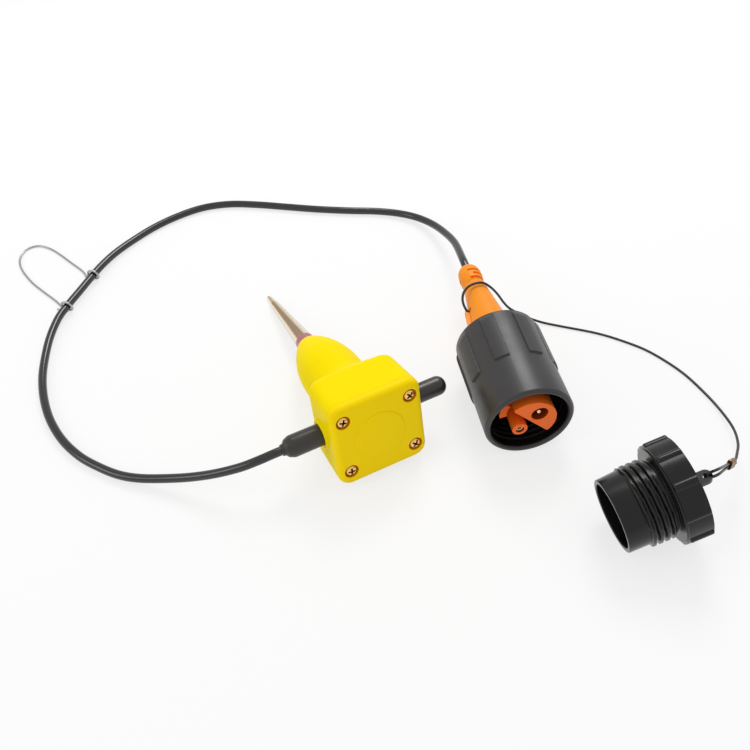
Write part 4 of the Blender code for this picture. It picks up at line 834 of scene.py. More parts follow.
inner_side = [(COLLAR_MOUTH, COLLAR_SHOULDER), (COLLAR_BORE, COLLAR_SHOULDER),
              (COLLAR_BORE, RING_STEP), (RING_STEP_BORE, RING_STEP)]
collar = lathe("grip_collar", outer_side + thread_rows + inner_side, CONNECTOR, "collar", rib_angles(),
               collar_shape)
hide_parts("coupling_collar")
print("collar faces:", len(collar.data.polygons))

# %% [markdown]
# Inside the collar sits the orange moulding: a half-moon tower with the pin in a recess, a
# round post with the socket, and a short key, so that the mate fits only one way round. Behind
# the collar it narrows in a long cone. The turned part is one profile. The towers are outlines
# with a rounded front rim, joined to it.

# %% Connector body
COLLAR_SEAT = COLLAR_SHOULDER - GAP
BODY_FLANGE = 0.005
BODY_NECK_RADIUS = 0.0057
FLANGE_FACE = COLLAR_SEAT - BODY_FLANGE
BODY_FLANGE_RADIUS = 0.0172
BODY_BARREL_RADIUS = 0.0147
BODY_WAIST = 0.0565
BODY_WAIST_RADIUS = 0.0103
TOWER_FACE = -0.0008
TOWER_RADIUS = 0.0122
TOWER_ANGLE = math.radians(45)
POST_OFFSET = 0.006
POST_RADIUS = 0.0036
KEY_FACE = 0.006
RECESS_RADIUS = 0.0039
RECESS_DEPTH = 0.012
PIN_RADIUS = 0.00125
PIN_TIP = 0.0002
PIN_PLACE = (POST_OFFSET * math.cos(-TOWER_ANGLE), POST_OFFSET * math.sin(-TOWER_ANGLE))
POST_PLACE = (-PIN_PLACE[0], -PIN_PLACE[1])
SOCKET_BORE = 0.0009
POST_BORE = 0.0019
KEY_START = math.radians(168)
KEY_SPAN = math.radians(44)
KEY_INNER_RADIUS = 0.0085
RIM_EDGE = 0.0003
LUG_HALF = 0.0014
FIN_EDGE = -0.0117
FIN_ROOT = -0.0040
FIN_HALF = 0.0012


def half_moon(radius, inset, corner=0.0006):
    """A half disc's outline with slightly rounded tips, its straight side through the axis."""
    points = []
    tip = math.asin(corner / radius) + 0.02
    for step in range(33):
        angle = -math.pi / 2 + tip + (math.pi - 2 * tip) * step / 32
        points.append((radius * math.cos(angle) + inset, radius * math.sin(angle)))
    points.append((inset + corner * 0.25, radius - corner * 0.75))
    points.append((inset, radius - corner * 1.8))
    points.append((inset, -radius + corner * 1.8))
    points.append((inset + corner * 0.25, -radius + corner * 0.75))
    turn = Matrix.Rotation(-TOWER_ANGLE, 2)
    return [tuple(turn @ Vector(point)) for point in points]


def key_outline():
    """The short key beside the post, a piece of a ring."""
    angles = [KEY_START + KEY_SPAN * step / 12 for step in range(13)]
    outer = [(TOWER_RADIUS, angle) for angle in angles]
    inner = [(KEY_INNER_RADIUS, angle) for angle in angles[::-1]]
    return [(radius * math.cos(angle), radius * math.sin(angle)) for radius, angle in outer + inner]


body_path = rounded([
    (0.0, BODY_LENGTH, 0), (BODY_NECK_RADIUS, BODY_LENGTH, 0.0004),
    (BODY_NECK_RADIUS, BODY_LENGTH - 0.0014, 0.001), (BODY_WAIST_RADIUS, BODY_WAIST, 0.002),
    (BODY_WAIST_RADIUS + 0.001, BODY_WAIST - 0.0012, 0.001),
    (BODY_BARREL_RADIUS - 0.0005, BODY_WAIST - 0.0022, 0.0008),
    (BODY_BARREL_RADIUS, COLLAR_LENGTH - 0.001, 0.001), (BODY_BARREL_RADIUS, COLLAR_SEAT, 0),
    (BODY_FLANGE_RADIUS, COLLAR_SEAT, 0), (BODY_FLANGE_RADIUS, FLANGE_FACE, 0), (0.0, FLANGE_FACE, 0)])
body = lathe("insert_body", body_path, CONNECTOR, "geophone")
sunk = FLANGE_FACE + 0.002
at_pin = CONNECTOR @ moved(*PIN_PLACE)
at_post = CONNECTOR @ moved(*POST_PLACE)
tower = slab("tower", half_moon(TOWER_RADIUS, 0.0004), TOWER_FACE, sunk, CONNECTOR, RIM_EDGE)
key = slab("key", key_outline(), KEY_FACE, sunk, CONNECTOR, RIM_EDGE)
post_path = rounded([(0.0, sunk, 0), (POST_RADIUS, sunk, 0), (POST_RADIUS, TOWER_FACE, 0.0004),
                     (0.0, TOWER_FACE, 0)])
post = lathe("post", post_path, at_post, None, ring_angles(48))
lug_turn = Matrix.Rotation(math.pi / 2, 4, "X")
lug_place = CONNECTOR @ moved(-LUG_REACH + LUG_RADIUS, 0, LUG_PLACE) @ lug_turn
lug_path = rounded([(0.0, LUG_HALF, 0), (LUG_RADIUS, LUG_HALF, 0.0005), (LUG_RADIUS, -LUG_HALF, 0.0005),
                    (0.0, -LUG_HALF, 0)])
lug_form = lathe("lug", lug_path, lug_place, None, ring_angles(32))
fin_outline = [(-LUG_REACH + 0.0001, LUG_PLACE), (FIN_EDGE, BODY_WAIST - 0.0005),
               (FIN_EDGE, COLLAR_LENGTH), (FIN_ROOT, COLLAR_LENGTH), (FIN_ROOT, LUG_PLACE)]
fin = slab("fin", fin_outline[::-1], -FIN_HALF, FIN_HALF, CONNECTOR @ lug_turn)
combine(body, [tower, key, post, lug_form, fin], "UNION")
recess_path = [(0.0, TOWER_FACE + RECESS_DEPTH), (RECESS_RADIUS - 0.0002, TOWER_FACE + RECESS_DEPTH),
               (RECESS_RADIUS, TOWER_FACE + 0.0004), (RECESS_RADIUS + 0.0003, TOWER_FACE),
               (RECESS_RADIUS + 0.0003, TOWER_FACE - 0.0012), (0.0, TOWER_FACE - 0.0012)]
body_tools = [lathe("recess", recess_path, at_pin, None, ring_angles(48)),
              cylinder_tool("pin_hole", PIN_RADIUS + GAP, 0.001, FLANGE_FACE, at_pin, 32),
              cylinder_tool("socket_hole", POST_BORE, -0.001, FLANGE_FACE, at_post, 32),
              cylinder_tool("lug_hole", 0.001, -0.004, 0.004, lug_place, 24)]
combine(body, body_tools)
settle(body)
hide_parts("connector_body")
print("connector body faces:", len(body.data.polygons))

# %% [markdown]
# The contacts are turned brass: a round-nosed pin in the tower's recess and a socket tube in
# the post. A black rubber seal covers the flange's whole face round the towers. Its black is
# painted shade for the deep shade at the base of the collar's mouth. A ring at the collar's rear
# keeps the collar from sliding off the barrel.

# %% Contacts, seal and ring
contact_end = FLANGE_FACE - GAP
pin_path = [(0.0, contact_end), (PIN_RADIUS, contact_end), (PIN_RADIUS, PIN_TIP + PIN_RADIUS)]
for step in range(1, 9):
    angle = math.pi / 2 * step / 8
    pin_path.append((PIN_RADIUS * math.cos(angle) if step < 8 else 0.0,
                     PIN_TIP + PIN_RADIUS * (1 - math.sin(angle))))
pin = lathe("pin", pin_path, at_pin, "geophone", ring_angles(40))
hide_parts("contact_pin")
socket_outer = POST_BORE - GAP
socket_start = TOWER_FACE + 0.0008
socket_bottom = contact_end - 0.003
socket_path = rounded([(0.0, contact_end, 0), (socket_outer, contact_end, 0),
                       (socket_outer, socket_start, 0.0001), (SOCKET_BORE + 0.0001, socket_start, 0.0001),
                       (SOCKET_BORE, socket_start + 0.0004, 0), (SOCKET_BORE, socket_bottom, 0),
                       (0.0, socket_bottom, 0)])
socket = lathe("socket", socket_path, at_post, "geophone", ring_angles(40))
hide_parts("contact_socket")
SEAL_THICKNESS = 0.0013
seal_high = FLANGE_FACE - GAP
seal_low = seal_high - SEAL_THICKNESS
seal_path = rounded([(0.0, seal_high, 0), (BODY_FLANGE_RADIUS, seal_high, 0.0004),
                     (BODY_FLANGE_RADIUS, seal_low, 0.0005), (BODY_FLANGE_RADIUS - 0.0018, seal_low, 0.0003),
                     (BODY_FLANGE_RADIUS - 0.0024, seal_low + 0.0005, 0.0003), (0.0, seal_low + 0.0005, 0)])
# painted shade: the black seal over the flange's whole face stands for the shade at the mouth's base
seal_and_shade = lathe("front_seal_and_shade", seal_path, CONNECTOR, "geophone")
below = seal_low - 0.001
above = FLANGE_FACE + 0.001
wide_key = [(x * 1.03, y * 1.03) for x, y in key_outline()]
seal_tools = [slab("seal_tower", half_moon(TOWER_RADIUS + GAP, 0.0001), below, above, CONNECTOR),
              cylinder_tool("seal_post", POST_RADIUS + GAP, below, above, at_post, 48),
              slab("seal_key", wide_key, below, above, CONNECTOR)]
combine(seal_and_shade, seal_tools)
settle(seal_and_shade)
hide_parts("face_seal")
snap_outer = RING_STEP_BORE - GAP
snap_front = RING_STEP + GAP
snap_rear = COLLAR_LENGTH - 0.0006
snap_path = rounded([(snap_outer, snap_rear, 0.0003), (snap_outer, snap_front, 0.0003),
                     (COLLAR_BORE, snap_front, 0.0003), (COLLAR_BORE, snap_rear, 0.0003)], True)
snap_ring = lathe("snap_ring", snap_path, CONNECTOR, "geophone")
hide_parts("retaining_ring")
print("contacts, seal and ring made")

# %% [markdown]
# The strain relief is a soft barrel of the same orange, slit crosswise so that it bends with
# the lead. The slits don't run all the way round: each is cut on two opposite sides with a web
# between, and every second one is turned a little. So the groove's depth depends on the angle
# as well as on the place along the axis, which the lathe helper allows.

# %% Strain relief
RELIEF_START = BODY_LENGTH + GAP
SLIT_PITCH = 0.0028
SLIT_WIDTH = 0.0013
SLIT_DEPTH = 0.0015
SLIT_COUNT = 3
FIRST_SLIT = RELIEF_START + 0.0014
SLIT_HEADING = math.radians(-62)
SLIT_TURN = math.radians(24)
RELIEF_RADIUS = 0.0053
RELIEF_SWELL = 0.0008
RELIEF_ROUND = 0.0034
RELIEF_END_DROP = 0.0024
RELIEF_ROW = 0.0001


def relief_radius(along):
    """The barrel's outline: narrow at the neck, widest past the middle, rounded at the end."""
    share = (along - RELIEF_START) / RELIEF_LENGTH
    radius = RELIEF_RADIUS + RELIEF_SWELL * math.sin(math.pi * min(1.0, share * 1.15)) ** 0.8
    to_end = (RELIEF_END - along) / RELIEF_ROUND
    if to_end < 1:
        radius -= RELIEF_END_DROP * (1 - math.sqrt(max(0.0, 1 - (1 - to_end) ** 2)))
    return radius


def relief_shape(radius, along, angle):
    """Cuts the slits, each on two opposite sides, and every second one turned a little."""
    for number in range(SLIT_COUNT):
        centre = FIRST_SLIT + number * SLIT_PITCH
        offset = abs(along - centre)
        if offset < SLIT_WIDTH / 2 and radius > 0.004:
            facing = math.cos(2 * (angle - SLIT_HEADING - SLIT_TURN * (number % 2)))
            bite = max(0.0, min(1.0, (facing + 0.1) * 4))
            wall = min(1.0, (SLIT_WIDTH / 2 - offset) / 0.00018)
            return radius - SLIT_DEPTH * bite * wall
    return radius


relief_path = [(0.0, RELIEF_END), (LEAD_RADIUS + 0.0004, RELIEF_END)]
for step in range(1, round(RELIEF_LENGTH / RELIEF_ROW)):
    relief_path.append((relief_radius(RELIEF_END - RELIEF_ROW * step), RELIEF_END - RELIEF_ROW * step))
relief_path += [(relief_radius(RELIEF_START) - 0.0002, RELIEF_START), (0.0, RELIEF_START)]
relief = lathe("relief_boot", relief_path, CONNECTOR, "geophone", None, relief_shape, 40)
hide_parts("strain_relief")
print("strain relief faces:", len(relief.data.polygons))

# %% [markdown]
# The dust cap has a plain nose, a rounded thread of four turns, an undercut, and a lobed grip
# flange with a small boss and an eye behind it. The thread is a true helix: the profile's
# radius is raised by a wave that moves on with the angle. Each lobe is part of a circle whose
# centre stands off the axis, so its height at any angle is where a ray meets that circle.

# %% Dust cap
DUST_NOSE_RADIUS = 0.0162
DUST_BORE = 0.0142
DUST_DEPTH = 0.0225
DUST_THREAD_RADIUS = 0.0176
DUST_THREAD = (0.0086, 0.0208)
DUST_FLANGE_FRONT = 0.0224
DUST_FLANGE_REAR = 0.0338
DUST_FLANGE_RADIUS = 0.0213
DUST_FLANGE_REAR_RADIUS = 0.0208
DUST_VALLEY_RADIUS = 0.0219
DUST_LOBE_FRONT = 0.0238
DUST_LOBE_REAR = 0.0329
DUST_LOBE_RADIUS = 0.0022
DUST_LOBE_CREST = 0.0229
DUST_BOSS_RADIUS = 0.006
DUST_BOSS_REAR = 0.0378
LOBE_OFFSET = DUST_LOBE_CREST - DUST_LOBE_RADIUS
LOBE_EDGE = 0.0007
DUST_NECK_RADIUS = DUST_NOSE_RADIUS - 0.0006
EYE_HOLE = 0.00125
EYE_WIDTH = 0.006
EYE_THICKNESS = 0.0024
LOBE_FIRST = math.radians(-82) + math.pi / DUST_LOBES
LOBE_SIDE = math.acos((LOBE_OFFSET ** 2 + DUST_VALLEY_RADIUS ** 2 - DUST_LOBE_RADIUS ** 2)
                      / (2 * LOBE_OFFSET * DUST_VALLEY_RADIUS))


def lobe_angles():
    """Angles round the dust cap, with one at each side of every lobe."""
    pitch = 2 * math.pi / DUST_LOBES
    shares = [LOBE_SIDE * step / 6 for step in range(-6, 7)]
    shares += [LOBE_SIDE + (pitch - 2 * LOBE_SIDE) * step / 7 for step in range(1, 7)]
    return sorted((LOBE_FIRST + lobe * pitch + share) % (2 * math.pi)
                  for lobe in range(DUST_LOBES) for share in shares)


def lobe_rise(angle):
    """How far the lobes stand above the valleys at an angle."""
    offset = from_nearest(angle, LOBE_FIRST, DUST_LOBES)
    spread = DUST_LOBE_RADIUS ** 2 - (LOBE_OFFSET * math.sin(offset)) ** 2
    if spread <= 0:
        return 0.0
    return max(0.0, LOBE_OFFSET * math.cos(offset) + math.sqrt(spread) - DUST_VALLEY_RADIUS)


def dust_shape(radius, along, angle):
    """The helical thread on the nose and the lobes of the grip."""
    if abs(radius - DUST_NOSE_RADIUS) < 0.00005:
        rise = DUST_THREAD_RADIUS - DUST_NOSE_RADIUS
        return radius + rise * thread_rise(along, angle, *DUST_THREAD)
    if radius > DUST_VALLEY_RADIUS - 0.00001:
        inside = min(along - DUST_LOBE_FRONT, DUST_LOBE_REAR - along) + LOBE_EDGE
        edge = min(1.0, max(0.0, inside / LOBE_EDGE))
        return radius + lobe_rise(angle) * math.sqrt(1 - (1 - edge) ** 2)
    return radius


lobe_rows = [(DUST_VALLEY_RADIUS, DUST_LOBE_REAR - (DUST_LOBE_REAR - DUST_LOBE_FRONT) * step / 12)
             for step in range(1, 12)]
edge_steps = [LOBE_EDGE * step / 6 for step in range(7)]
rear_edge = [(DUST_VALLEY_RADIUS, DUST_LOBE_REAR + LOBE_EDGE - rise) for rise in edge_steps]
front_edge = [(DUST_VALLEY_RADIUS, DUST_LOBE_FRONT - rise) for rise in edge_steps]
back = rounded([
    (0.0, DUST_BOSS_REAR, 0), (DUST_BOSS_RADIUS, DUST_BOSS_REAR, 0.001),
    (DUST_BOSS_RADIUS + 0.0004, DUST_FLANGE_REAR + 0.0002, 0.0005),
    (DUST_FLANGE_REAR_RADIUS, DUST_FLANGE_REAR, 0.0004),
    (DUST_VALLEY_RADIUS - 0.0001, DUST_LOBE_REAR + 0.0006, 0.0002)])
back += rear_edge + lobe_rows + front_edge
back += rounded([
    (DUST_VALLEY_RADIUS - 0.0003, DUST_LOBE_FRONT - 0.0008, 0),
    (DUST_FLANGE_RADIUS, DUST_FLANGE_FRONT + 0.0006, 0.0003),
    (DUST_FLANGE_RADIUS - 0.0005, DUST_FLANGE_FRONT, 0.0004), (DUST_NECK_RADIUS, DUST_FLANGE_FRONT, 0.0003),
    (DUST_NECK_RADIUS, DUST_FLANGE_FRONT - 0.0010, 0.0002)])
nose_rows = [(DUST_NOSE_RADIUS, DUST_FLANGE_FRONT - 0.0012 - 0.00025 * step) for step in range(48)]
lip = rounded([(DUST_NOSE_RADIUS, 0.009, 0), (DUST_NOSE_RADIUS, 0.0, 0.0005), (DUST_BORE, 0.0, 0.0005),
               (DUST_BORE, DUST_DEPTH, 0.0015), (0.0, DUST_DEPTH, 0)])
dust = lathe("dust_cover", back + nose_rows + lip, DUST, "dust_cover", lobe_angles(), dust_shape)
half = EYE_WIDTH / 2
eye_outline = [(half, DUST_BOSS_REAR - 0.002)]
for step in range(17):
    angle = math.pi * step / 16
    eye_outline.append((half * math.cos(angle), EYE_PLACE + half * math.sin(angle)))
eye_outline.append((-half, DUST_BOSS_REAR - 0.002))
stand = DUST @ Matrix.Rotation(math.pi / 2, 4, "X")
tab = slab("eye_tab", eye_outline, -EYE_THICKNESS / 2, EYE_THICKNESS / 2, stand)
combine(dust, [tab], "UNION")
eye_hole = cylinder_tool("eye_hole", EYE_HOLE, -0.004, 0.004, stand @ moved(y=EYE_PLACE), 32)
combine(dust, [eye_hole])
settle(dust)
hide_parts("dust_cap")
print("dust cap faces:", len(dust.data.polygons))

# %% [markdown]
# The ferrule is a short brass sleeve, pressed flat over both strands of the lanyard. Two
# shallow dents across it show where the crimping tool closed.

# %% Ferrule
FERRULE_WIDTH = 0.0048
FERRULE_THICKNESS = 0.0027
DENTS = (0.33, 0.67)
DENT_DEPTH = 0.09


def ferrule_outline(width, thickness):
    """A flat oval."""
    points = []
    for step in range(48):
        angle = 2 * math.pi * step / 48
        x = abs(math.cos(angle)) ** 0.65 * math.copysign(thickness / 2, math.cos(angle))
        y = abs(math.sin(angle)) ** 0.65 * math.copysign(width / 2, math.sin(angle))
        points.append((x, y))
    return points


ferrule_rows = []
for step in range(41):
    t = step / 40
    end_round = min(1.0, 0.86 + 0.14 * min(t, 1 - t) * 14)
    dent = sum(DENT_DEPTH * math.exp(-((t - middle) / 0.07) ** 2) for middle in DENTS)
    outline = ferrule_outline(FERRULE_WIDTH * (end_round - dent * 0.3),
                              FERRULE_THICKNESS * (end_round - dent))
    ferrule_rows.append([(x, y, (t - 0.5) * FERRULE_LENGTH) for x, y in outline])
ferrule_across = ferrule_axis.cross(ferrule_side)
ferrule_turn = Matrix((ferrule_across, ferrule_side, ferrule_axis)).transposed().to_4x4()
ferrule_place = moved(*FERRULE_PLACE) @ ferrule_turn
ferrule = stack("crimp_sleeve", ferrule_rows, ferrule_place, "geophone")
strand_tools = [cylinder_tool(f"strand_{side}", LANYARD_RADIUS + 0.0001, -0.004, 0.004,
                              ferrule_place @ moved(y=side * FERRULE_STRAND_GAP / 2), 24) for side in (-1, 1)]
combine(ferrule, strand_tools)
settle(ferrule)
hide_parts("lanyard_ferrule")
print("ferrule faces:", len(ferrule.data.polygons))

# %% [markdown]
# The clip is one bent wire. Each end is wound once round the lead and runs back along the
# loop for a few millimetres. It swings on the lead, so its rings are true circles about the
# lead's own line.

# %% Wire clip
CLIP_RING_PITCH = 0.0017
CLIP_TAIL = 0.0065
CLIP_LOOP = [
    (0.0175, 0.0102), (0.0225, 0.0215), (0.0264, 0.0304), (0.0297, 0.0400), (0.0297, 0.0485),
    (0.0242, 0.0530), (0.0160, 0.0515), (0.0083, 0.0448), (0.0007, 0.0332), (-0.0042, 0.0225),
    (-0.0090, 0.0110),
]
ring_one, ring_two = [Vector((*place, CLIP_HEIGHT)) for place in CLIP_RINGS]
clip_along = (ring_two - ring_one).normalized()
clip_away = Vector((-clip_along.y, clip_along.x, 0.0))
clip_centre = (ring_one + ring_two) / 2
clip_half = (ring_two - ring_one).length / 2


def clip_point(along, away, height):
    """A point given along the lead, away from it and above its centre line."""
    return clip_centre + clip_along * along + clip_away * away + Vector((0, 0, height))


def clip_ring(start, end):
    """One turn round the lead, from below and back to below."""
    points = []
    for step in range(25):
        angle = -math.pi / 2 - 2 * math.pi * step / 24
        points.append(clip_point(start + (end - start) * step / 24, CLIP_RING_RADIUS * math.cos(angle),
                                 CLIP_RING_RADIUS * math.sin(angle)))
    return points


low = -CLIP_RING_RADIUS
far_side = clip_half + CLIP_RING_PITCH
near_side = -clip_half - CLIP_RING_PITCH
clip_points = [clip_point(far_side, CLIP_TAIL, low), clip_point(far_side, CLIP_TAIL / 2, low)]
clip_points += clip_ring(far_side, clip_half)
clip_points += smooth_run([clip_point(clip_half, 0.004, low), *[clip_point(u, v, low) for u, v in CLIP_LOOP],
                           clip_point(-clip_half, 0.004, low)], 0.0012)
clip_points += clip_ring(-clip_half, near_side)
clip_points += [clip_point(near_side, CLIP_TAIL / 2, low), clip_point(near_side, CLIP_TAIL, low)]
clip = wire("bent_clip", clip_points, CLIP_WIRE_RADIUS, 3)
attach(clip, "clip")
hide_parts("wire_clip")
print("clip wire in mm:", round(run_length(clip_points) * 1000))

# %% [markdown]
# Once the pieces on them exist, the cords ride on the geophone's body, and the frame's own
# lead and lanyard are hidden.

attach(lead, "geophone")
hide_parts("lead_cable")
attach(lanyard, "geophone")
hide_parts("lanyard")

# %% [markdown]
# Every moulded surface here has the same two things in common: a very fine grain from the
# mould and slight unevenness in its gloss. They are built once as a node group, which gives a
# colour, a roughness and a bump normal. Each material has its own copy with its own values.

# %% Shared surface groups
def new_group(name, inputs, outputs):
    """An empty shader node group with named sockets."""
    group = bpy.data.node_groups.new(name, "ShaderNodeTree")
    for label, kind, value in inputs:
        socket = group.interface.new_socket(name=label, in_out="INPUT", socket_type=kind)
        if value is not None:
            socket.default_value = value
    for label, kind in outputs:
        group.interface.new_socket(name=label, in_out="OUTPUT", socket_type=kind)
    return group, group.nodes.new("NodeGroupInput"), group.nodes.new("NodeGroupOutput")


def add(tree, kind, values=None, **settings):
    """A new shader node, with its settings and the values of its inputs."""
    node = tree.nodes.new(f"ShaderNode{kind}")
    for label, setting in settings.items():
        setattr(node, label, setting)
    for label, value in (values or {}).items():
        node.inputs[label].default_value = value
    return node


def join(tree, *pairs):
    """Link each pair of sockets, from the output to the input."""
    for start, end in pairs:
        tree.links.new(start, end)


def uneven_gloss(group, source, noise):
    """A roughness that a noise raises and lowers by the group's unevenness."""
    centred = add(group, "Math", {1: 0.5}, operation="SUBTRACT")
    gloss = add(group, "Math", operation="MULTIPLY_ADD")
    join(group, (noise.outputs["Fac"], centred.inputs[0]), (centred.outputs[0], gloss.inputs[0]),
         (source.outputs["Unevenness"], gloss.inputs[1]), (source.outputs["Roughness"], gloss.inputs[2]))
    return gloss.outputs[0]


def mould_grain_group():
    """Mould grain: fine bumps, faint flow marks in the colour and uneven gloss."""
    group, source, target = new_group(
        "mould_grain",
        [("Base", "NodeSocketColor", (0.5, 0.5, 0.5, 1.0)), ("Tint", "NodeSocketColor", (0.5, 0.5, 0.5, 1.0)),
         ("Roughness", "NodeSocketFloat", 0.4), ("Unevenness", "NodeSocketFloat", 0.1),
         ("Grain Size", "NodeSocketFloat", 2500.0), ("Grain Height", "NodeSocketFloat", 0.2)],
        [("Color", "NodeSocketColor"), ("Roughness", "NodeSocketFloat"), ("Normal", "NodeSocketVector")])
    place = add(group, "TexCoord").outputs["Object"]
    cloud = add(group, "TexNoise", {"Scale": 90.0, "Detail": 4.0})
    grain = add(group, "TexNoise", {"Detail": 2.0})
    mix = add(group, "Mix", data_type="RGBA")
    bump = add(group, "Bump", {"Distance": 0.00004})
    join(group, (place, cloud.inputs["Vector"]), (place, grain.inputs["Vector"]),
         (source.outputs["Grain Size"], grain.inputs["Scale"]), (cloud.outputs["Fac"], mix.inputs["Factor"]),
         (source.outputs["Base"], mix.inputs["A"]), (source.outputs["Tint"], mix.inputs["B"]),
         (mix.outputs["Result"], target.inputs["Color"]),
         (uneven_gloss(group, source, cloud), target.inputs["Roughness"]),
         (grain.outputs["Fac"], bump.inputs["Height"]),
         (source.outputs["Grain Height"], bump.inputs["Strength"]),
         (bump.outputs["Normal"], target.inputs["Normal"]))
    return group


MOULD_GRAIN = mould_grain_group()
print("group made:", MOULD_GRAIN.name)

# %% [markdown]
# Turned metal shows fine rings round its axis, left by the tool. They are a wave texture along
# the piece's own Z, broken up by noise, and they act on the roughness and on the bump.

# %% Turned metal group
def turned_group():
    """Tool rings round Z: uneven gloss and a fine bump."""
    group, source, target = new_group(
        "tool_rings",
        [("Roughness", "NodeSocketFloat", 0.3), ("Unevenness", "NodeSocketFloat", 0.15),
         ("Ring Scale", "NodeSocketFloat", 900.0), ("Ring Height", "NodeSocketFloat", 0.15)],
        [("Roughness", "NodeSocketFloat"), ("Mask", "NodeSocketFloat"), ("Normal", "NodeSocketVector")])
    place = add(group, "TexCoord").outputs["Object"]
    rings = add(group, "TexWave", {"Distortion": 1.5, "Detail": 2.0}, wave_type="BANDS", bands_direction="Z")
    patch = add(group, "TexNoise", {"Scale": 260.0, "Detail": 3.0})
    bump = add(group, "Bump", {"Distance": 0.00003})
    join(group, (place, rings.inputs["Vector"]), (place, patch.inputs["Vector"]),
         (source.outputs["Ring Scale"], rings.inputs["Scale"]),
         (uneven_gloss(group, source, patch), target.inputs["Roughness"]),
         (patch.outputs["Fac"], target.inputs["Mask"]), (rings.outputs["Fac"], bump.inputs["Height"]),
         (source.outputs["Ring Height"], bump.inputs["Strength"]),
         (bump.outputs["Normal"], target.inputs["Normal"]))
    return group


TOOL_RINGS = turned_group()
print("group made:", TOOL_RINGS.name)

# %% [markdown]
# Two short functions turn the groups into materials, one for moulded pieces and one for metal.

# %% Material helpers
# how much of a painted reflection, a colour ramp over the viewing angle, lies over a metal's own colour
PAINTED_REFLECTION_SHARE = 0.85


def new_material(name, metallic=0.0, specular=0.5):
    """A Principled material with its plain values set on the shader."""
    made = bpy.data.materials.new(name)
    made.use_nodes = True
    shader = made.node_tree.nodes["Principled BSDF"]
    shader.inputs["Metallic"].default_value = metallic
    shader.inputs["Specular IOR Level"].default_value = specular
    return made, shader


def moulded(name, base, tint, roughness, unevenness, grain, height, specular=0.5):
    """A moulded plastic or rubber."""
    made, shader = new_material(name, specular=specular)
    node = add(made.node_tree, "Group", {
        "Base": (*base, 1.0), "Tint": (*tint, 1.0), "Roughness": roughness, "Unevenness": unevenness,
        "Grain Size": grain, "Grain Height": height}, node_tree=MOULD_GRAIN)
    join(made.node_tree, (node.outputs["Color"], shader.inputs["Base Color"]),
         (node.outputs["Roughness"], shader.inputs["Roughness"]),
         (node.outputs["Normal"], shader.inputs["Normal"]))
    return made


def turned_metal(name, base, tint, roughness, unevenness, rings, height, painted_reflection=None):
    """A turned or drawn metal, with its colour mixed from two tones by the group's mask.

    The last argument holds the places and tones of a ramp over how far the surface turns from
    the eye: a painted reflection, mixed over the metal's own colour.
    """
    made, shader = new_material(name, metallic=1.0)
    tree = made.node_tree
    node = add(tree, "Group", {"Roughness": roughness, "Unevenness": unevenness, "Ring Scale": rings,
                               "Ring Height": height}, node_tree=TOOL_RINGS)
    mix = add(tree, "Mix", {"A": (*base, 1.0), "B": (*tint, 1.0)}, data_type="RGBA")
    join(tree, (node.outputs["Mask"], mix.inputs["Factor"]))
    colour = mix.outputs["Result"]
    # a painted reflection: the ramp colours the surface by how far it turns from the eye
    if painted_reflection:
        facing = add(tree, "LayerWeight")
        ramp = add(tree, "ValToRGB")
        stops = ramp.color_ramp.elements
        for number, (place, tone) in enumerate(painted_reflection):
            stop = stops[number] if number < 2 else stops.new(place)
            stop.position = place
            stop.color = (*tone, 1.0)
        fade = add(tree, "Mix", {"Factor": PAINTED_REFLECTION_SHARE}, data_type="RGBA")
        join(tree, (facing.outputs["Facing"], ramp.inputs["Fac"]), (colour, fade.inputs["A"]),
             (ramp.outputs["Color"], fade.inputs["B"]))
        colour = fade.outputs["Result"]
    join(tree, (colour, shader.inputs["Base Color"]), (node.outputs["Roughness"], shader.inputs["Roughness"]),
         (node.outputs["Normal"], shader.inputs["Normal"]))
    return made


print("material helpers ready")

# %% [markdown]
# The colours: a bright yellow for the case and a slightly warmer one for its cap, a warm orange
# for the connector's insert, and several blacks that differ mainly in gloss. The cap's warmer
# yellow is painted shade: it stands for the orange cast of its shaded front. The collar is satin,
# the gland shines a little more, and the dust cap and the lead are the glossiest. The wells' deeper
# yellow, the redder and the dark oranges and the mouths' black are painted shade for faces that
# light hardly reaches.

# %% Plastics and rubbers
YELLOW = moulded("case_yellow", (0.90, 0.70, 0.001), (0.93, 0.74, 0.0015),
                 0.42, 0.10, 1800.0, 0.08, specular=0.02)
# painted shade: the cap's warmer yellow stands for the orange cast that its front face takes in shade
CAP_SHADE_YELLOW = moulded("cap_yellow_painted_shade", (0.97, 0.69, 0.001), (0.99, 0.72, 0.0015),
                     0.42, 0.10, 1800.0, 0.08, specular=0.06)
# painted shade: a deeper orange-yellow for the screw wells, where light hardly reaches
WELL_SHADE_YELLOW = moulded("well_yellow_painted_shade", (0.70, 0.30, 0.002), (0.74, 0.34, 0.003),
                      0.40, 0.10, 1800.0, 0.08, specular=0.2)
ORANGE = moulded("insert_orange", (0.88, 0.275, 0.010), (0.92, 0.31, 0.013),
                 0.42, 0.12, 2200.0, 0.10, specular=0.22)
# painted shade: a redder, darker orange for the faces inside the collar's mouth and in the slits
SHADE_ORANGE = moulded("orange_painted_shade", (0.94, 0.15, 0.012), (0.98, 0.18, 0.016),
                      0.40, 0.12, 2200.0, 0.10, specular=0.25)
# painted shade: a dark orange-brown for the recess and the bores, where light hardly reaches
DEEP_SHADE_ORANGE = moulded("recess_orange_painted_shade", (0.22, 0.025, 0.005), (0.28, 0.035, 0.006),
                        0.45, 0.10, 2200.0, 0.10, specular=0.2)
SATIN_BLACK = moulded("satin_black", (0.028, 0.026, 0.0265), (0.040, 0.037, 0.038),
                      0.37, 0.16, 2400.0, 0.08, specular=0.45)
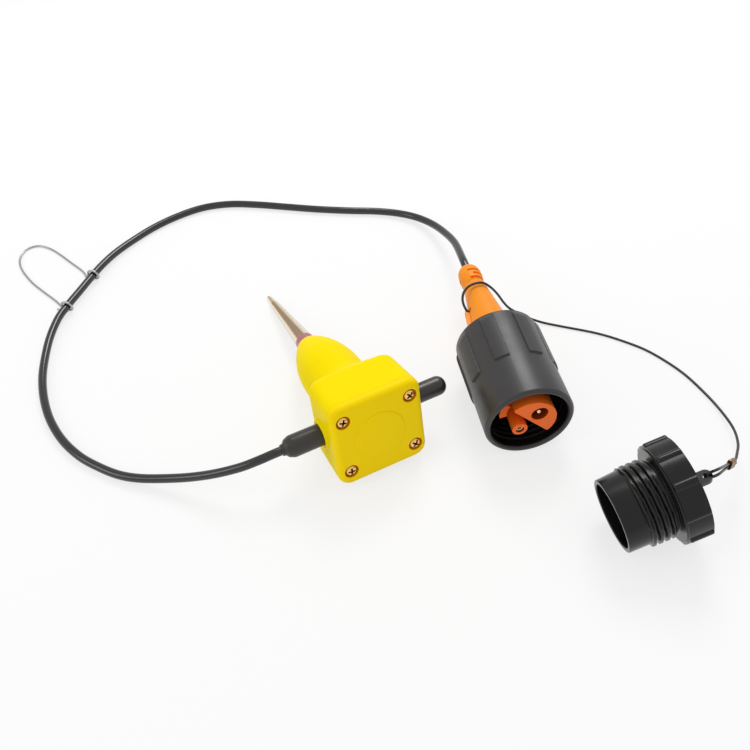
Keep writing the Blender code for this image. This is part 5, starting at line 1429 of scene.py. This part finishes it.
# painted shade: a near-black for the insides of the collar and the dust cap
SHADE_BLACK = moulded("mouth_black_painted_shade", (0.003, 0.003, 0.0034), (0.005, 0.005, 0.006),
                      0.40, 0.14, 2400.0, 0.12, specular=0.12)
GLOSS_BLACK = moulded("gloss_black", (0.004, 0.0037, 0.0036), (0.008, 0.0074, 0.0072),
                      0.22, 0.14, 2400.0, 0.10, specular=0.32)
RUBBER_BLACK = moulded("rubber_black", (0.020, 0.017, 0.015), (0.032, 0.028, 0.025),
                       0.30, 0.2, 1600.0, 0.22, specular=0.5)
LEAD_BLACK = moulded("lead_black", (0.007, 0.0072, 0.0076), (0.012, 0.0124, 0.013),
                     0.18, 0.14, 1500.0, 0.08,
                     specular=0.65)
LANYARD_BLACK = moulded("lanyard_black", (0.008, 0.008, 0.008), (0.014, 0.014, 0.014),
                        0.3, 0.1, 3000.0, 0.1)
BOARD = moulded("laminated_board", (0.16, 0.09, 0.04), (0.21, 0.12, 0.06), 0.6, 0.1, 4000.0, 0.3)
print("moulded materials:", 13)

# %% [markdown]
# The metals differ in colour and in the fineness of their tool marks. The spike's tone also
# changes with the angle at which it is seen: that is a painted reflection, brown down its middle,
# cream beside it and olive grey at its edges.

# %% Metals
# painted reflection on the spike: brown down its middle, cream beside it, olive grey at its edges
SPIKE_REFLECTION_TONES = [(0.40, (0.74, 0.58, 0.38)), (0.495, (0.40, 0.27, 0.18)), (0.525, (0.46, 0.32, 0.20)),
               (0.585, (0.95, 0.84, 0.60)), (0.78, (0.95, 0.86, 0.72)), (0.91, (0.34, 0.32, 0.27))]
PLATING_AND_REFLECTION = turned_metal("plated_spike_painted_reflection", (0.36, 0.27, 0.18), (0.42, 0.33, 0.22),
                      0.22, 0.1, 2600.0, 0.03,
                      painted_reflection=SPIKE_REFLECTION_TONES)
SPIKE_LAND_PINK = turned_metal("land_pink", (0.52, 0.20, 0.24), (0.60, 0.27, 0.30),
                               0.26, 0.1, 2600.0, 0.06)
BRASS = turned_metal("screw_brass", (0.86, 0.50, 0.15), (0.92, 0.60, 0.22),
                     0.14, 0.12, 2600.0, 0.06)
# painted shade: a dark brown for the screws' cross recesses
CROSS_SHADE = turned_metal("screw_cross_painted_shade", (0.10, 0.04, 0.015), (0.14, 0.06, 0.025),
                            0.4, 0.12, 2600.0, 0.06)
CONTACT = turned_metal("contact_brass", (0.90, 0.72, 0.42), (0.95, 0.80, 0.55),
                       0.22, 0.1, 2600.0, 0.06)
FERRULE_BRASS = turned_metal("ferrule_brass", (0.14, 0.08, 0.045), (0.36, 0.23, 0.13),
                             0.20, 0.25, 1200.0, 0.25)
STEEL = turned_metal("bright_steel", (0.62, 0.62, 0.62), (0.74, 0.74, 0.74), 0.3, 0.2, 2200.0, 0.12)
CLIP_STEEL = turned_metal("clip_steel", (0.36, 0.365, 0.37), (0.48, 0.485, 0.49),
                          0.30, 0.2, 600.0, 0.05)
COPPER = turned_metal("enamelled_copper", (0.62, 0.25, 0.10), (0.72, 0.34, 0.16),
                      0.35, 0.15, 4000.0, 0.8)
MAGNET = turned_metal("ground_magnet", (0.24, 0.24, 0.25), (0.32, 0.32, 0.33),
                      0.45, 0.2, 1500.0, 0.2)
print("metals:", 10)


# %% [markdown]
# Each piece gets its material. The table also lists the record's slot that each piece stands
# for, which the code does not use.

# %% Dress every piece
def dress(thing, material):
    """Give a piece its material."""
    thing.data.materials.clear()
    thing.data.materials.append(material)


def paint(thing, material, test):
    """Give a second material to the faces whose centre, in the piece's own axes, passes a test."""
    thing.data.materials.append(material)
    number = len(thing.data.materials) - 1
    for face in thing.data.polygons:
        if test(face.center):
            face.material_index = number


for piece, material, slot in (
        (case, YELLOW, "yellow_plastic"), (cap, CAP_SHADE_YELLOW, "yellow_plastic"),
        (spike, PLATING_AND_REFLECTION, "plated_steel"),
        (gland, RUBBER_BLACK, "black_rubber"), (plug, RUBBER_BLACK, "black_rubber"),
        (collar, SATIN_BLACK, "black_plastic"), (body, ORANGE, "orange_plastic"),
        (relief, ORANGE, "orange_plastic"), (pin, CONTACT, "brass"), (socket, CONTACT, "brass"),
        (seal_and_shade, RUBBER_BLACK, "black_rubber"), (snap_ring, STEEL, "bright_steel"),
        (dust, GLOSS_BLACK, "black_plastic"), (ferrule, FERRULE_BRASS, "brass"),
        (lead, LEAD_BLACK, "black_plastic"), (lanyard, LANYARD_BLACK, "black_plastic"),
        (clip, CLIP_STEEL, "bright_steel"), *[(screw, BRASS, "brass") for screw in screws]):
    dress(piece, material)

# %% [markdown]
# Some faces get painted shade, a darker or redder tone where light hardly reaches: the wells and
# crosses of the screws, the collar's mouth, the towers and their recess, the strain relief's slits
# and the dust cap's inside. The spike's land takes the other colour that its plating took on.
# These faces get a material of their own.

# %% Second tones
def dome_level(reach):
    """The height of a plain screw head at a distance from its axis."""
    share = min(1.0, reach / SCREW_HEAD_RADIUS) ** (1 / 0.8)
    return SCREW_RIM - (SCREW_RIM - SCREW_TOP) * math.sqrt(1 - share ** 2)


def in_cross(centre):
    """Whether a face belongs to a screw's cross recess."""
    reach = math.hypot(centre.x, centre.y)
    return reach < SCREW_HEAD_RADIUS * 0.95 and dome_level(reach) + 0.00012 < centre.z < SCREW_RIM + 0.0006


def in_well(centre):
    """Whether a face belongs to one of the cap's screw wells."""
    nearest = min(math.hypot(centre.x - x, centre.y - y) for x, y in SCREW_PLACES)
    return nearest < WELL_RADIUS + 0.0002 and 0.0002 < centre.z < CAP_THICKNESS - 0.0002


def in_slit(centre):
    """Whether a face lies in one of the strain relief's slits."""
    along = centre.z
    if not FIRST_SLIT - SLIT_WIDTH < along < RELIEF_END - 0.0005:
        return False
    return math.hypot(centre.x, centre.y) < relief_radius(along) - 0.0003


def in_recess(centre):
    """Whether a face lies inside the tower's recess or one of the contacts' bores."""
    to_pin = math.hypot(centre.x - PIN_PLACE[0], centre.y - PIN_PLACE[1])
    to_post = math.hypot(centre.x - POST_PLACE[0], centre.y - POST_PLACE[1])
    inside = to_pin < RECESS_RADIUS + 0.0001 or to_post < POST_BORE + 0.0001
    return TOWER_FACE + 0.0003 < centre.z < FLANGE_FACE and inside


# painted shade in the cap's screw wells
paint(cap, WELL_SHADE_YELLOW, in_well)
# painted shade in each screw's cross
for screw in screws:
    paint(screw, CROSS_SHADE, in_cross)
# painted shade inside the collar's mouth
paint(collar, SHADE_BLACK, lambda centre: math.hypot(centre.x, centre.y) < COLLAR_MOUTH + 0.0002
      and COLLAR_FRONT + 0.0010 < centre.z < COLLAR_LENGTH - 0.0004)
# painted shade on the faces in front of the flange, deep in the collar's mouth
paint(body, SHADE_ORANGE, lambda centre: centre.z < FLANGE_FACE + 0.0001)
# painted shade inside the tower's recess and the contacts' bores
paint(body, DEEP_SHADE_ORANGE, in_recess)
# painted shade in the strain relief's slits
paint(relief, SHADE_ORANGE, in_slit)
# painted shade inside the dust cap
paint(dust, SHADE_BLACK, lambda centre: math.hypot(centre.x, centre.y) < DUST_BORE + 0.0001
      and 0.0006 < centre.z < DUST_DEPTH + 0.0001)
paint(spike, SPIKE_LAND_PINK, lambda centre: centre.z < SPIKE_BASE + SPIKE_LAND)
print("pieces with a second tone:", 10)

# %% [markdown]
# The large moulded pieces get their points in world axes, so that their boxes fit closely and
# the grain is the same on all of them. The inner pieces are the frame's own and get a finish.

# %% World axes and inner pieces
IN_WORLD_AXES = (case, cap, gland, plug, collar, body, relief, seal_and_shade, dust)
for piece in IN_WORLD_AXES:
    piece.data.transform(piece.matrix_world)
    piece.matrix_world = Matrix.Identity(4)
print("pieces measured in world axes:", len(IN_WORLD_AXES))
INNER_FINISHES = {
    "cap_seal": RUBBER_BLACK, "element_can": STEEL, "element_top": BOARD, "element_base": STEEL,
    "terminal_pin_1": CONTACT, "terminal_pin_2": CONTACT, "pole_upper": STEEL, "pole_lower": STEEL,
    "magnet": MAGNET, "coil_form": STEEL, "coil_upper": COPPER, "coil_lower": COPPER,
    "spring_upper": CONTACT, "spring_lower": CONTACT, "core_wire_1": COPPER, "core_wire_2": COPPER,
}
for node, material in INNER_FINISHES.items():
    for place in frame["nodes"][node].material_slots:
        place.material = material
print("inner pieces with a finish:", len(INNER_FINISHES))

# %% [markdown]
# The studio is plain: a pale floor and soft light from all round, with one large lamp high
# behind the product on the right and a weak one on the left. The large one brightens what
# faces up, leaves the case's front in even shade and lays long highlights on the round black
# pieces. The floor is mixed with white only where the camera or a shiny surface sees it, so it
# looks clean without putting more light on the product.

# %% Floor, world and lamps
FLOOR_SIZE = 4.0
FLOOR_WHITE = 0.72
WORLD_LIGHT = 0.72


def white_for_the_eye(tree, shader, white, output, share):
    """Mix a shader with plain white where the camera or a glossy or clear surface looks."""
    rays = add(tree, "LightPath")
    seen = add(tree, "Math", operation="MAXIMUM")
    clear = add(tree, "Math", operation="MAXIMUM")
    amount = add(tree, "Math", {1: share}, operation="MULTIPLY")
    mix = add(tree, "MixShader")
    join(tree, (rays.outputs["Is Camera Ray"], seen.inputs[0]),
         (rays.outputs["Is Glossy Ray"], seen.inputs[1]),
         (seen.outputs[0], clear.inputs[0]), (rays.outputs["Is Transmission Ray"], clear.inputs[1]),
         (clear.outputs[0], amount.inputs[0]), (amount.outputs[0], mix.inputs[0]),
         (shader.outputs[0], mix.inputs[1]), (white.outputs[0], mix.inputs[2]),
         (mix.outputs[0], output.inputs["Surface"]))


floor_solid = bmesh.new()
bmesh.ops.create_grid(floor_solid, x_segments=1, y_segments=1, size=FLOOR_SIZE / 2)
floor_mesh = bpy.data.meshes.new("floor")
floor_solid.to_mesh(floor_mesh)
floor_solid.free()
floor = bpy.data.objects.new("floor", floor_mesh)
bpy.context.scene.collection.objects.link(floor)
floor_material, floor_shader = new_material("pale_floor", specular=0.2)
floor_shader.inputs["Base Color"].default_value = (0.88, 0.88, 0.88, 1.0)
floor_shader.inputs["Roughness"].default_value = 0.9
floor_tree = floor_material.node_tree
floor_glow = add(floor_tree, "Emission")
white_for_the_eye(floor_tree, floor_shader, floor_glow, floor_tree.nodes["Material Output"], FLOOR_WHITE)
floor_mesh.materials.append(floor_material)

world = bpy.data.worlds.new("studio")
bpy.context.scene.world = world
world.use_nodes = True
world_tree = world.node_tree
dim = world_tree.nodes["Background"]
dim.inputs["Color"].default_value = (1.0, 1.0, 1.0, 1.0)
dim.inputs["Strength"].default_value = WORLD_LIGHT
bright = add(world_tree, "Background")
white_for_the_eye(world_tree, dim, bright, world_tree.nodes["World Output"], 1.0)


def soft_lamp(name, place, target, size, watts):
    """A square area lamp that looks at a point."""
    data = bpy.data.lights.new(name, "AREA")
    data.shape = "SQUARE"
    data.size = size
    data.energy = watts
    lamp = bpy.data.objects.new(name, data)
    lamp.matrix_world = aim(Vector(place), Vector(target))
    bpy.context.scene.collection.objects.link(lamp)


soft_lamp("key", (0.42, 0.48, 0.84), (0.02, 0.0, 0.0), 0.42, 4.4)
soft_lamp("side", (-0.75, 0.10, 0.45), (0.0, -0.02, 0.0), 0.35, 1.0)
bpy.context.scene.view_settings.view_transform = "Standard"
print("studio ready")
